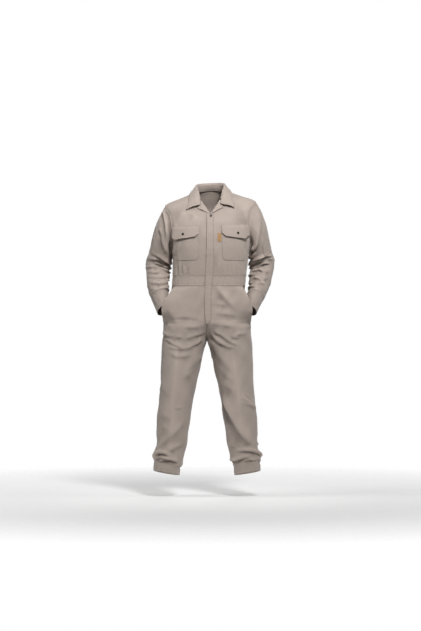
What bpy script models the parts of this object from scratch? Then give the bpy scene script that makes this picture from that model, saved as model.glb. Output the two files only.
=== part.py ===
"""A boiler suit, hollow and open, in the shape it has when worn with both hands in its pockets.

Metres, +Z up, front towards -Y, +X towards the wearer's left. The origin is the middle of
the neck opening, level with the inner ends of the shoulder seams.

Each cut piece is a thin wall lofted through sections, whose sizes come from the tables below,
one row for each height or station. A wall's outer face lies on its form, the larger folds
included, and its inner face one thickness inside. All pieces are worked out for the wearer's
left, and the right ones are mirrored with folds of their own.
"""

import math

import bmesh
import bpy
import numpy as np
from mathutils import Matrix, Vector

COLLECTION = "boiler_suit"

# Cloth and seams
CLOTH = 0.0020
TAB = 0.0010
SEAM_GAP = 0.0003
LAYER_GAP = 0.0011  # between a piece and what lies on it, whose facets differ
CLOSE_GAP = 0.0007  # the same, for lapels and the label
SLOPE_STEP = 1e-4  # a form's slopes are measured over this much of its own terms
HALVINGS = 40

# Heights of the seams that go round
WAIST_TOP = -0.421
WAIST_FOOT = -0.467
CROTCH = -0.739
ANKLE = -1.250
HEM = -1.410

# The hips stand to the wearer's right of the neck, and the left shoulder is raised
LEAN = -0.0175
LEAN_START, LEAN_FULL = -0.30, -0.61
SHOULDER_TILT = 0.045
TILT_NONE, TILT_FULL = -0.35, -0.05

# Cells of the grids that the pieces are lofted on
HALF_CELLS = 9  # across half a bodice, half a waistband, or the front or back of a leg
TRUNK_LOW_CELLS = 5
ARMHOLE_CELLS = 9
SHOULDER_CELLS = 4
SLEEVE_CELL, ELBOW_CELL = 0.5, 0.27
HEM_CELLS, SHIN_CELLS, CROTCH_CELLS, HIP_CELLS = 10, 11, 5, 6

# The bodice at stations from the waist seam (row 0) by the underarm (3) and the shoulder's tip
# (6) to the neck seam (8):
# side_z, front_z, back_z, half_width, front, back, squareness
TRUNK = (
    (-0.421, -0.421, -0.421, 0.184, 0.114, 0.104, 2.3),
    (-0.375, -0.375, -0.375, 0.187, 0.122, 0.106, 2.4),
    (-0.310, -0.312, -0.310, 0.191, 0.131, 0.114, 2.5),
    (-0.250, -0.262, -0.245, 0.200, 0.134, 0.121, 2.5),
    (-0.175, -0.205, -0.180, 0.214, 0.131, 0.125, 2.5),
    (-0.095, -0.150, -0.115, 0.226, 0.121, 0.121, 2.4),
    (-0.053, -0.112, -0.070, 0.227, 0.108, 0.110, 2.2),
    (-0.022, -0.078, -0.028, 0.152, 0.093, 0.090, 2.1),
    (0.006, -0.045, 0.016, 0.076, 0.071, 0.070, 2.0),
)
UNDERARM, TIP, NECK = 3.0, 6.0, 8.0
ARMHOLE_REACH = math.radians(33)

# The lapel as it shows from in front. The front ends on its fold, and the fifth row is the
# notch against the collar, which covers the last:
# fold_x, fold_z, edge_x, edge_z
LAPEL = (
    (0.0008, -0.1060, 0.0012, -0.1090),
    (0.0130, -0.0905, 0.0210, -0.1005),
    (0.0250, -0.0710, 0.0415, -0.0905),
    (0.0340, -0.0580, 0.0625, -0.0805),
    (0.0410, -0.0470, 0.0565, -0.0640),
    (0.0460, -0.0390, 0.0550, -0.0540),
)
LAPEL_ROLL = 0.0032
LAPEL_CELLS = 5
FOLD_AT_NECK = math.radians(40)

# Hips and legs. inner_x counts below the crotch only:
# z, inner_x, outer_x, side_y, front, back, squareness
LEG = (
    (-1.410, 0.139, 0.269, 0.004, 0.078, 0.084, 2.1),
    (-1.386, 0.136, 0.269, 0.003, 0.078, 0.082, 2.1),
    (-1.356, 0.127, 0.266, 0.002, 0.079, 0.081, 2.1),
    (-1.326, 0.118, 0.268, 0.001, 0.080, 0.082, 2.1),
    (-1.295, 0.110, 0.263, 0.001, 0.079, 0.083, 2.1),
    (-1.265, 0.103, 0.2525, 0.000, 0.078, 0.084, 2.1),
    (-1.205, 0.096, 0.2545, 0.000, 0.080, 0.087, 2.1),
    (-1.144, 0.086, 0.252, 0.000, 0.083, 0.088, 2.1),
    (-1.053, 0.073, 0.242, 0.000, 0.090, 0.088, 2.1),
    (-0.963, 0.055, 0.234, 0.000, 0.097, 0.092, 2.1),
    (-0.902, 0.040, 0.232, 0.000, 0.102, 0.098, 2.1),
    (-0.842, 0.0277, 0.2305, 0.000, 0.107, 0.106, 2.1),
    (-0.781, 0.014, 0.2275, 0.000, 0.111, 0.115, 2.1),
    (-0.739, 0.000, 0.2235, 0.000, 0.114, 0.123, 2.1),
    (-0.700, 0.000, 0.2205, 0.000, 0.118, 0.130, 2.1),
    (-0.660, 0.000, 0.219, 0.000, 0.120, 0.134, 2.2),
    (-0.605, 0.000, 0.206, 0.015, 0.120, 0.134, 2.2),
    (-0.572, 0.000, 0.197, 0.020, 0.119, 0.130, 2.2),
    (-0.540, 0.000, 0.192, 0.018, 0.118, 0.122, 2.2),
    (-0.500, 0.000, 0.187, 0.010, 0.116, 0.112, 2.3),
    (-0.467, 0.000, 0.184, 0.000, 0.114, 0.104, 2.3),
)
FRONT_RISE_FOOT = -0.640  # where the middle seams leave the upright for the crotch
BACK_RISE_FOOT = -0.575
# The hem rides up over the boot in front and outside, and drops behind
HEM_RISE_FRONT, HEM_DROP_BACK, HEM_RISE_OUTSIDE = 0.007, 0.010, 0.011
HEM_RISE_REACH = 0.10

# The slanted edge of the hip pocket, pushed forwards by the wrist that goes into it:
# z, ring_angle, x, y
POCKET_EDGE = (
    (-0.660, math.radians(0.0), 0.219, 0.000),
    (-0.635, math.radians(2.0), 0.2215, -0.058),
    (-0.605, math.radians(5.0), 0.2265, -0.100),
    (-0.572, math.radians(9.0), 0.2265, -0.108),
    (-0.540, math.radians(13.0), 0.2137, -0.104),
    (-0.500, math.radians(18.0), 0.190, -0.082),
    (-0.467, math.radians(22.0), 0.172, -0.050),
)
PUSH_FADE_FOOT, PUSH_FADE_TOP = 0.012, 0.020
PUSH_FALL = 2.5  # how fast the push dies away across the front

# The pocket's back wall, behind that edge, curving in from the side seam:
# z, seam_inset, middle_x, middle_y, end_x, end_y
FACING = (
    (-0.700, 0.0100, 0.165, -0.050, 0.120, -0.094),
    (-0.665, 0.0050, 0.158, -0.040, 0.116, -0.096),
    (-0.640, 0.0012, 0.154, -0.030, 0.112, -0.097),
    (-0.605, 0.0005, 0.150, -0.022, 0.108, -0.097),
    (-0.572, 0.0005, 0.152, -0.022, 0.106, -0.096),
    (-0.540, 0.0005, 0.160, -0.032, 0.104, -0.095),
    (-0.500, 0.0005, 0.170, -0.044, 0.102, -0.092),
    (-0.469, 0.0005, 0.174, -0.050, 0.100, -0.089),
)
FACING_START = 0.01  # share of its width at which it begins, just off the side seam
FACING_CELLS_ACROSS, FACING_CELLS_UP = 7, 8

# The sleeve, an oval at each station from armhole (row 0) to cuff end (12):
# outer_x, outer_z, inner_x, inner_z, mid_y, half_depth, front_rise
SLEEVE = (
    (0.2290, -0.053, 0.2000, -0.250, 0.000, 0.078, 0.000),
    (0.2600, -0.112, 0.2045, -0.264, 0.006, 0.084, -0.006),
    (0.2840, -0.175, 0.2015, -0.284, 0.016, 0.080, -0.014),
    (0.2990, -0.240, 0.1980, -0.306, 0.031, 0.075, -0.018),
    (0.3120, -0.297, 0.1965, -0.330, 0.049, 0.070, -0.014),
    (0.3240, -0.335, 0.1980, -0.353, 0.063, 0.066, -0.004),
    (0.3250, -0.370, 0.2020, -0.378, 0.066, 0.063, 0.008),
    (0.3200, -0.410, 0.2020, -0.408, 0.057, 0.060, 0.018),
    (0.3130, -0.450, 0.2020, -0.442, 0.041, 0.057, 0.024),
    (0.3020, -0.492, 0.2010, -0.475, 0.021, 0.053, 0.027),
    (0.2830, -0.532, 0.1980, -0.508, -0.003, 0.049, 0.028),
    (0.2660, -0.567, 0.1940, -0.542, -0.026, 0.045, 0.027),
    (0.2490, -0.604, 0.1870, -0.576, -0.046, 0.040, 0.024),
)
ELBOW_START, CUFF_SEAM, CUFF_END = 4.0, 10.0, 12.0
CUFF_CELLS = 4
ARMHOLE_BLEND = 2.0  # stations over which the armhole's own shape gives way to the ovals

# The collar, from its front end (row 0) round to the middle of the back (6):
# neck_angle, roll_x, roll_y, roll_z, fall_x, fall_y, fall_z, edge_x, edge_y, edge_z
COLLAR = (
    (math.radians(40), 0.0505, -0.076, -0.034, 0.0545, -0.099, -0.060, 0.1210, -0.101, -0.080),
    (math.radians(31), 0.0550, -0.063, -0.008, 0.0790, -0.089, -0.044, 0.1170, -0.083, -0.065),
    (math.radians(16), 0.0620, -0.042, 0.018, 0.0880, -0.062, -0.014, 0.1120, -0.056, -0.034),
    (math.radians(0), 0.0660, -0.016, 0.036, 0.0900, -0.022, 0.016, 0.1075, -0.020, -0.0035),
    (math.radians(-28), 0.0610, 0.020, 0.044, 0.0820, 0.036, 0.026, 0.0995, 0.046, 0.003),
    (math.radians(-60), 0.0370, 0.047, 0.048, 0.0480, 0.068, 0.030, 0.0590, 0.086, 0.000),
    (math.radians(-90), 0.0000, 0.056, 0.049, 0.0000, 0.080, 0.031, 0.0000, 0.098, -0.002),
)
COLLAR_CELLS = 12
COLLAR_SEAM_RISE = 0.0009
STAND_BEND = 0.004  # the stand bends in towards the neck
ROLL_OUT, ROLL_UP = 0.004, 0.0045  # the fold's top, outside and above its inner line
FALL_SHARE, FALL_SWELL, EDGE_SWELL = 0.55, 0.006, 0.003

# Patches as they show from in front:
# inner, outer, top, foot_inner, foot_outer, corner_x, corner_z
CHEST_POCKET = (0.0590, 0.1815, -0.182, -0.340, -0.342, 0.014, 0.016)
FLAP = (0.0560, 0.1890, -0.168, -0.221, -0.237, 0.020, 0.016)
PATCH_TURN = 1.3  # draws a patch's columns together where the chest turns to the side
CHEST_POCKET_CELLS, FLAP_CELLS = (9, 8), (6, 5)
POCKET_FULLNESS = 0.0030
FLAP_PILE, FLAP_PILE_AT = 0.0042, 0.16  # the pocket under it lifts the flap just below its seam
FLAP_LIFT = 0.0030  # and its foot stands off this much more

# Tab, placket and snaps: x, z from in front
LABEL_X, LABEL_Z = (0.0365, 0.0535), (-0.207, -0.249)
# Placket: z, right_x, left_x of its edges, which end in a curved foot
PLACKET = (
    (-0.660, -0.0062, 0.0090),
    (-0.640, -0.0082, 0.0190),
    (-0.600, -0.0114, 0.0205),
    (-0.520, -0.0140, 0.0180),
    (-0.467, -0.0177, 0.0178),
    (-0.421, -0.0205, 0.0190),
    (-0.250, -0.0200, 0.0160),
    (-0.1115, -0.0180, 0.0155),
)
PLACKET_TOP_SLOPE = 0.46  # its top follows the lapels' lower edges
PLACKET_EDGE_LIFT, PLACKET_EDGE_WIDTH = 0.0012, 0.020
PLACKET_CELLS, PLACKET_UPPER_CELLS, PLACKET_LOWER_CELLS = 4, 11, 11
CHEST_SNAP = (0.1345, -0.208)
NECK_SNAP = (0.0015, -0.1200)
SNAP_RADIUS, SNAP_TOP_RADIUS, SNAP_HEIGHT, SNAP_SIDES = 0.0060, 0.0048, 0.0026, 14
SNAP_GAP = 0.0006

# The pocket on the left sleeve: degrees round it, and stations along it
SLEEVE_POCKET_TURNS, SLEEVE_POCKET_STATIONS = (74, 24), (2.75, 3.8)
SLEEVE_POCKET_FULLNESS = 0.001
SLEEVE_POCKET_CELLS = 4

# Folds. Degrees round and place along (stations, or height on a leg) of the middle, how far
# along it shifts for each degree round, half its length in degrees, half its width, and its
# height in metres, below zero for a trough:
# round, along, shift, reach, width, height
TRUNK_FOLDS = {
    "left": (
        (62, 0.75, 0.0, 11, 0.80, -0.0040),
        (28, 0.70, 0.0, 11, 0.80, -0.0045),
        (-40, 1.00, 0.0, 11, 1.40, -0.0060),
        (-68, 1.20, 0.0, 10, 1.50, -0.0050),
    ),
    "right": (
        (34, 0.70, 0.0, 11, 0.80, -0.0050),
        (64, 0.75, 0.0, 11, 0.80, -0.0040),
        (-34, 1.00, 0.0, 11, 1.40, -0.0060),
        (-66, 0.90, 0.0, 10, 1.30, -0.0050),
    ),
}
SLEEVE_FOLDS = {
    "left": (
        (150, 4.15, -0.0080, 95, 0.30, -0.0090),
        (128, 4.75, -0.0060, 70, 0.26, 0.0055),
        (120, 5.25, -0.0050, 80, 0.27, -0.0085),
        (130, 5.95, -0.0040, 60, 0.27, -0.0070),
        (105, 6.65, 0.0020, 60, 0.27, -0.0060),
        (120, 7.40, 0.0030, 55, 0.27, -0.0065),
        (118, 8.20, 0.0030, 55, 0.27, -0.0055),
        (125, 9.05, 0.0025, 50, 0.28, -0.0050),
        (70, 1.90, 0.0420, 48, 0.60, -0.0060),
        (0, 4.40, 0.0000, 75, 1.90, 0.0100),
    ),
    "right": (
        (140, 4.40, -0.0100, 100, 0.30, -0.0095),
        (115, 5.00, -0.0085, 75, 0.26, 0.0055),
        (110, 5.45, -0.0075, 85, 0.27, -0.0085),
        (95, 6.05, -0.0040, 70, 0.27, -0.0060),
        (125, 6.75, -0.0030, 55, 0.27, -0.0065),
        (60, 7.30, 0.0020, 60, 0.27, -0.0045),
        (120, 8.00, 0.0020, 55, 0.27, -0.0050),
        (100, 9.20, 0.0030, 60, 0.28, -0.0055),
        (72, 1.80, 0.0430, 50, 0.60, -0.0065),
        (40, 2.30, 0.0380, 40, 0.50, -0.0035),
    ),
}
LEG_FOLDS = {
    "left": (
        (75, -1.300, 0.00020, 65, 0.0130, -0.0110),
        (100, -1.342, -0.00020, 65, 0.0120, -0.0100),
        (30, -1.322, 0.00010, 60, 0.0130, 0.0070),
        (-20, -1.326, 0.00000, 40, 0.0150, 0.0070),
        (-60, -1.318, 0.00020, 90, 0.0140, -0.0100),
        (-110, -1.350, -0.00020, 70, 0.0120, -0.0070),
        (70, -1.225, -0.00100, 60, 0.0220, -0.0060),
        (120, -0.775, 0.00090, 50, 0.0150, -0.0045),
        (95, -0.735, -0.00070, 50, 0.0140, -0.0035),
    ),
    "right": (
        (85, -1.310, 0.00030, 65, 0.0120, -0.0110),
        (85, -1.340, -0.00040, 60, 0.0110, -0.0100),
        (20, -1.326, 0.00010, 60, 0.0150, 0.0130),
        (-30, -1.330, 0.00000, 40, 0.0150, 0.0100),
        (-70, -1.322, -0.00020, 90, 0.0140, -0.0100),
        (-120, -1.290, 0.00020, 60, 0.0130, -0.0070),
        (100, -1.240, 0.00110, 60, 0.0220, -0.0050),
        (60, -0.725, 0.00060, 60, 0.0150, -0.0050),
        (100, -0.760, -0.00080, 55, 0.0140, -0.0035),
    ),
}
# Folds die out next to the waist seam, the hem and the inseam
TRUNK_FOLD_FADE = 0.6
HEM_FOLD_FADE = (0.02, 0.05)
INSEAM_FOLD_FADE = 0.2

# Base colour, roughness and metallic value
MATERIALS = {
    "cloth": ((0.40, 0.335, 0.295), 0.85, 0.0),
    "snap": ((0.030, 0.028, 0.027), 0.40, 0.8),
    "label": ((0.50, 0.30, 0.13), 0.75, 0.0),
}
SHARP_ANGLE = math.radians(50)


# ---------------------------------------------------------------- curves, ovals and folds


def smooth(rows, keys, x):
    """The rows as smooth curves read at x, one row to each key, with the keys rising."""
    values, keys = np.asarray(rows, float), np.asarray(keys, float)
    x = np.clip(np.asarray(x, float), keys[0], keys[-1])
    slopes = np.gradient(values, keys, axis=0)
    low = np.clip(np.searchsorted(keys, x, side="right") - 1, 0, len(keys) - 2)
    span = (keys[low + 1] - keys[low])[..., None]
    t = (x - keys[low])[..., None] / span
    return (
        (2 * t**3 - 3 * t**2 + 1) * values[low]
        + (t**3 - 2 * t**2 + t) * span * slopes[low]
        + (3 * t**2 - 2 * t**3) * values[low + 1]
        + (t**3 - t**2) * span * slopes[low + 1]
    )


def by_row(table, station):
    """A table's columns at a station, which counts its rows from 0."""
    return np.moveaxis(smooth(table, np.arange(len(table)), station), -1, 0)


def by_height(table, z):
    """A table's columns at a height, which is its first column."""
    heights = [row[0] for row in table]
    return np.moveaxis(smooth([row[1:] for row in table], heights, z), -1, 0)


def ease(x, start, end):
    """0 before start, 1 after end, smooth between."""
    t = np.clip((np.asarray(x, float) - start) / (end - start), 0, 1)
    return t * t * (3 - 2 * t)


def oval(angle, squareness):
    """Cosine and sine on an oval whose corners fill out as squareness grows from 2."""
    power = 2 / squareness
    cos, sin = np.cos(angle), np.sin(angle)
    return np.sign(cos) * np.abs(cos) ** power, np.sign(sin) * np.abs(sin) ** power


def fold_height(folds, angle, along):
    """How far the cloth stands out at a place, all the folds of the table together."""
    height = np.zeros(np.broadcast(angle, along).shape)
    for middle, level, shift, reach, width, rise in folds:
        turn = np.degrees(angle) - middle
        across = (along - level - shift * turn) / width
        height = height + rise * np.exp(-(across**2)) * np.exp(-((turn / reach) ** 4))
    return height


def xyz(x, y, z):
    return np.stack(np.broadcast_arrays(x, y, z), axis=-1)


def unit(vectors):
    return vectors / np.maximum(np.linalg.norm(vectors, axis=-1, keepdims=True), 1e-12)


class Form:
    """A surface of two numbers, whose place gives its points and whose sign turns its normals out.

    height, if given, is how far its folds stand out at those two numbers.
    """

    def __init__(self, place, height=None, sign=1):
        self.place, self.height, self.sign = place, height, sign

    def normal(self, surface, a, b):
        along_a = surface(a + SLOPE_STEP, b) - surface(a - SLOPE_STEP, b)
        along_b = surface(a, b + SLOPE_STEP) - surface(a, b - SLOPE_STEP)
        return self.sign * unit(np.cross(along_b, along_a))

    def point(self, a, b):
        if self.height is None:
            return self.place(a, b)
        return self.place(a, b) + self.normal(self.place, a, b) * self.height(a, b)[..., None]

    def outward(self, a, b):
        return self.normal(self.point, a, b)


# ---------------------------------------------------------------- the forms


def trunk_place(angle, station):
    """Bodice: angle 0 is the side, 90 degrees the middle of the front, below 0 the back."""
    side_z, front_z, back_z, half_width, front, back, squareness = by_row(TRUNK, station)
    cos, sin = oval(angle, squareness)
    depth = np.where(sin > 0, front, back)
    middle_z = np.where(sin > 0, front_z, back_z)
    return xyz(half_width * cos, -depth * sin, side_z + (middle_z - side_z) * np.sin(angle) ** 2)


def waist_place(angle, z):
    """Waistband: the bodice's lowest section, taken straight down."""
    _, _, _, half_width, front, back, squareness = TRUNK[0]
    cos, sin = oval(angle, squareness)
    return xyz(half_width * cos, -np.where(sin > 0, front, back) * sin, z)


def crotch_share(z, rise_foot):
    """0 where the middle seam leaves the upright, 1 at the crotch."""
    return np.sin(math.pi / 2 * np.clip((rise_foot - z) / (rise_foot - CROTCH), 0, 1))


def leg_ring(z, rise_foot):
    """Middle and half width of a level section, and the angle of the middle seam or inseam on it."""
    inner_x, outer_x, _, _, _, squareness = by_height(LEG, z)
    share = crotch_share(z, rise_foot)
    middle = np.where(z > CROTCH, outer_x * share / (1 + share), (inner_x + outer_x) / 2)
    end = np.where(z > CROTCH, np.arccos(-(share ** (squareness / 2))), math.pi)
    return middle, outer_x - middle, end


def leg_place(angle, z):
    """Hips and leg: angle 0 is the side seam, above 0 the front, below 0 the back."""
    _, _, side_y, front, back, squareness = by_height(LEG, z)
    rise_foot = np.where(np.asarray(angle) >= 0, FRONT_RISE_FOOT, BACK_RISE_FOOT)
    middle, half_width, _ = leg_ring(z, rise_foot)
    cos, sin = oval(angle, squareness)
    y = side_y - np.where(sin > 0, front + side_y, back - side_y) * sin
    tilt = np.where(sin > 0, HEM_RISE_FRONT, HEM_DROP_BACK) * np.sin(angle)
    tilt = tilt + HEM_RISE_OUTSIDE * np.cos(angle)
    return xyz(middle + half_width * cos, y, z + tilt * (1 - ease(z, HEM, HEM + HEM_RISE_REACH)))


def leg_front_place(share, z):
    """Front of the leg: share 0 is the pocket's edge or side seam, 1 the middle or the inseam."""
    _, _, end = leg_ring(z, FRONT_RISE_FOOT)
    first, edge_x, edge_y = by_height(POCKET_EDGE, z)
    fade_in = ease(z, POCKET_EDGE[0][0], POCKET_EDGE[0][0] + PUSH_FADE_FOOT)
    fade_out = 1 - ease(z, WAIST_FOOT - PUSH_FADE_TOP, WAIST_FOOT)
    push = (xyz(edge_x, edge_y, z) - leg_place(first, z)) * (fade_in * fade_out)[..., None]
    reach = np.clip(1 - share, 0, 1) ** PUSH_FALL
    return leg_place(first + (end - first) * share, z) + push * reach[..., None]


def leg_back_place(share, z):
    """Back of the leg: share 0 is the side seam, 1 the middle of the back or the inseam."""
    _, _, end = leg_ring(z, BACK_RISE_FOOT)
    return leg_place(-end * share, z)


def armhole_station(angle):
    """The bodice's station on the armhole: angle 0 is the shoulder's tip, 180 degrees the underarm."""
    return UNDERARM + (TIP - UNDERARM) * (1 + np.cos(angle)) / 2


def armhole_angle(station):
    """How far round the bodice the armhole reaches from the side at a station."""
    share = np.clip((station - UNDERARM) / (TIP - UNDERARM), 0, 1)
    return ARMHOLE_REACH * np.sqrt(np.sin(math.pi * share))


def sleeve_ring(angle, sizes):
    outer_x, outer_z, inner_x, inner_z, mid_y, half_depth, front_rise = sizes
    cos, sin = np.cos(angle), np.sin(angle)
    x = (outer_x + inner_x) / 2 + (outer_x - inner_x) / 2 * cos
    z = (outer_z + inner_z) / 2 + (outer_z - inner_z) / 2 * cos + front_rise * sin
    return xyz(x, mid_y - half_depth * sin, z)


def sleeve_place(angle, station):
    """Sleeve: angle 0 is the outer side, 90 degrees the front, 180 degrees the inner side."""
    on_armhole = armhole_station(angle)
    armhole = trunk_place(np.sign(np.sin(angle)) * armhole_angle(on_armhole), on_armhole)
    to_armhole = armhole - sleeve_ring(angle, SLEEVE[0])
    blend = np.clip(1 - station / ARMHOLE_BLEND, 0, 1)[..., None] ** 2
    return sleeve_ring(angle, by_row(SLEEVE, station)) + to_armhole * blend


def facing_place(share, z):
    """The hip pocket's back wall, from the side seam (0) forwards behind the slanted edge (1)."""
    inset, middle_x, middle_y, end_x, end_y = by_height(FACING, z)
    seam = leg_place(np.zeros_like(z), z)
    first, middle, last = (1 - share) ** 2, 2 * share * (1 - share), share**2
    x = (seam[..., 0] - inset) * first + middle_x * middle + end_x * last
    return xyz(x, seam[..., 1] * first + middle_y * middle + end_y * last, z)


def leg_form(side, place, rise_foot, sign):
    """The front (sign 1) or back (sign -1) of a leg, with the folds that its table places by angle."""

    def height(share, z):
        _, _, end = leg_ring(z, rise_foot)
        above_hem = ease(z, HEM + HEM_FOLD_FADE[0], HEM + HEM_FOLD_FADE[1])
        off_inseam = ease(1 - share, 0, INSEAM_FOLD_FADE)
        return fold_height(LEG_FOLDS[side], sign * end * share, z) * above_hem * off_inseam

    return Form(place, height, sign)


def forms_of(side):
    """The forms of one side, with its folds. Each is given for the wearer's left."""

    def trunk_folds(angle, station):
        return fold_height(TRUNK_FOLDS[side], angle, station) * ease(station, 0, TRUNK_FOLD_FADE)

    def sleeve_folds(angle, station):
        return fold_height(SLEEVE_FOLDS[side], angle, station)

    return {
        "trunk": Form(trunk_place, trunk_folds),
        "sleeve": Form(sleeve_place, sleeve_folds, sign=-1),
        "leg_front": leg_form(side, leg_front_place, FRONT_RISE_FOOT, 1),
        "leg_back": leg_form(side, leg_back_place, BACK_RISE_FOOT, -1),
    }


def trunk_spot(x, z):
    """Angle and station at which the bodice's front shows at x, z from in front, by halving."""
    low, high = np.zeros_like(x), np.full_like(x, NECK)
    for _ in range(HALVINGS):
        station = (low + high) / 2
        _, _, _, half_width, _, _, squareness = by_row(TRUNK, station)
        angle = np.arccos(np.clip(x / half_width, 0, 1) ** (squareness / 2))
        too_low = trunk_place(angle, station)[..., 2] < z
        low, high = np.where(too_low, station, low), np.where(too_low, high, station)
    return angle, station


# ---------------------------------------------------------------- walls


def stand(points):
    """The points in their pose, with the hips to one side and a shoulder raised."""
    posed = np.array(points, float)
    lean = LEAN * ease(-posed[..., 2], -LEAN_START, -LEAN_FULL)
    posed[..., 2] += SHOULDER_TILT * posed[..., 0] * ease(posed[..., 2], TILT_NONE, TILT_FULL)
    posed[..., 0] += lean
    return posed


def mirrored(grid):
    return grid[:, ::-1] * np.array((-1, 1, 1))


def for_side(side, grids):
    """Grids made for the left, turned over for the right."""
    return [mirrored(grid) if side == "right" else grid for grid in grids]


def drawn_in(grid, gap, closed=False):
    """The grid with its free edges moved in, so that neighbours don't touch."""
    grid = np.array(grid, float)
    for edge, inner in ((0, 1), (-1, -2)):
        grid[edge] += unit(grid[inner] - grid[edge]) * gap
        if not closed:
            grid[:, edge] += unit(grid[:, inner] - grid[:, edge]) * gap
    return grid


def material_named(name):
    if name in bpy.data.materials:
        return bpy.data.materials[name]
    colour, roughness, metallic = MATERIALS[name]
    material = bpy.data.materials.new(name)
    material.use_nodes = True
    shader = material.node_tree.nodes["Principled BSDF"]
    shader.inputs["Base Color"].default_value = (*colour, 1.0)
    shader.inputs["Roughness"].default_value = roughness
    shader.inputs["Metallic"].default_value = metallic
    return material


def add_object(name, bm, material):
    bmesh.ops.recalc_face_normals(bm, faces=bm.faces[:])
    mesh = bpy.data.meshes.new(name)
    bm.to_mesh(mesh)
    bm.free()
    mesh.materials.append(material_named(material))
    mesh.shade_smooth()
    mesh.set_sharp_from_angle(angle=SHARP_ANGLE)
    bpy.data.collections[COLLECTION].objects.link(bpy.data.objects.new(name, mesh))


def wall(name, outer, inner, closed=False, material="cloth"):
    """A wall lofted between two grids of points, each row a ring if the piece is a tube."""
    bm = bmesh.new()
    sheets = [[[bm.verts.new(point) for point in row] for row in stand(grid)] for grid in (outer, inner)]

    def strip(first, second, ring):
        pairs = zip(first, first[1:] + first[:1], second[1:] + second[:1], second)
        for corners in list(pairs)[: None if ring else -1]:
            bm.faces.new(corners)

    for sheet in sheets:
        for low, high in zip(sheet, sheet[1:]):
            strip(low, high, closed)
    for row in (0, -1):
        strip(sheets[0][row], sheets[1][row], closed)
    if not closed:
        for column in (0, -1):
            strip([row[column] for row in sheets[0]], [row[column] for row in sheets[1]], False)
    add_object(name, bm, material)


def panel(name, form, a, b, side="left", facing=None, gap=SEAM_GAP / 2):
    """A wall on a form: its outer face there, and its inner face one thickness inside."""
    outer = form.point(a, b)
    inner = outer - (form.outward(a, b) if facing is None else facing) * CLOTH
    for grid in (outer, inner):
        grid[..., 0] = np.maximum(grid[..., 0], SEAM_GAP / 2)
    wall(name, *(drawn_in(grid, gap) for grid in for_side(side, (outer, inner))))


def laid_on(
    name, form, a, b, side="left", lift=LAYER_GAP, fullness=0.0, thickness=CLOTH, material="cloth"
):
    """A layer on top of a form: the form's points moved out, and further where it is full."""
    facing = form.outward(a, b)
    inner = form.point(a, b) + facing * (lift + np.asarray(fullness))[..., None]
    wall(name, *for_side(side, (inner + facing * thickness, inner)), material=material)


# ---------------------------------------------------------------- bodice and waistband


def armhole_turns():
    """Angles round the armhole from the underarm up to the shoulder's tip."""
    return np.linspace(math.pi, 0, ARMHOLE_CELLS + 1)


def armhole_facing(forms, sign):
    """Midway between the bodice's and the sleeve's outward directions, on half an armhole."""
    turns = armhole_turns()
    station = armhole_station(turns)
    on_trunk = forms["trunk"].outward(sign * armhole_angle(station), station)
    on_sleeve = forms["sleeve"].outward(sign * turns, np.full_like(turns, SLOPE_STEP))
    return unit(on_trunk + on_sleeve)


def trunk_rows():
    """Stations of the bodice's rows, with the armhole's own between underarm and shoulder's tip."""
    low = np.linspace(0, UNDERARM, TRUNK_LOW_CELLS + 1)[:-1]
    top = np.linspace(TIP, NECK, SHOULDER_CELLS + 1)[1:]
    return np.concatenate([low, armhole_station(armhole_turns()), top])


def bodice_grid(forms, sign, ends):
    """Angles, stations and outward directions of half a front (sign 1) or back (sign -1)."""
    rows = trunk_rows()
    start = np.where((rows > UNDERARM) & (rows < TIP), armhole_angle(rows), 0.0)
    share, station = np.meshgrid(np.linspace(0, 1, HALF_CELLS + 1), rows)
    angle = sign * (start[:, None] + (ends - start)[:, None] * share)
    facing = forms["trunk"].outward(angle, station)
    facing[TRUNK_LOW_CELLS : TRUNK_LOW_CELLS + ARMHOLE_CELLS + 1, 0] = armhole_facing(forms, sign)
    return angle, station, facing


def front_end(station):
    """The angle at which the front ends: the middle, or the lapel's fold above its foot."""
    fold_x, fold_z = np.array(LAPEL)[:, :2].T
    angle, level = trunk_spot(fold_x, fold_z)
    angle = np.concatenate([[math.pi / 2], angle[1:], [FOLD_AT_NECK]])
    return np.interp(station, np.append(level, NECK), angle)


def make_front(side, forms):
    angle, station, facing = bodice_grid(forms, 1, front_end(trunk_rows()))
    panel(f"front_{side}", forms["trunk"], angle, station, side, facing)


def make_back(forms):
    """One panel across, whose halves have the folds of their own side."""
    halves = []
    for side in ("left", "right"):
        ends = np.full_like(trunk_rows(), math.pi / 2)
        angle, station, facing = bodice_grid(forms[side], -1, ends)
        outer = forms[side]["trunk"].point(angle, station)
        halves.append(for_side(side, (outer, outer - facing * CLOTH)))
    grids = (np.concatenate([left[:, :-1], right], axis=1) for left, right in zip(*halves))
    wall("back", *(drawn_in(grid, SEAM_GAP / 2) for grid in grids))


def make_waistband():
    """A strip all round, open at the middle of the front."""
    form = Form(waist_place)
    turns = np.radians(np.linspace(90, -90, 2 * HALF_CELLS + 1))
    angle, z = np.meshgrid(turns, np.linspace(WAIST_FOOT, WAIST_TOP, 3))
    outer = form.point(angle, z)
    halves = (outer, outer - form.outward(angle, z) * CLOTH)
    grids = (np.concatenate([half[:, :-1], mirrored(half)], axis=1) for half in halves)
    wall("waistband", *(drawn_in(grid, SEAM_GAP / 2) for grid in grids))


# ---------------------------------------------------------------- sleeves and legs


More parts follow.
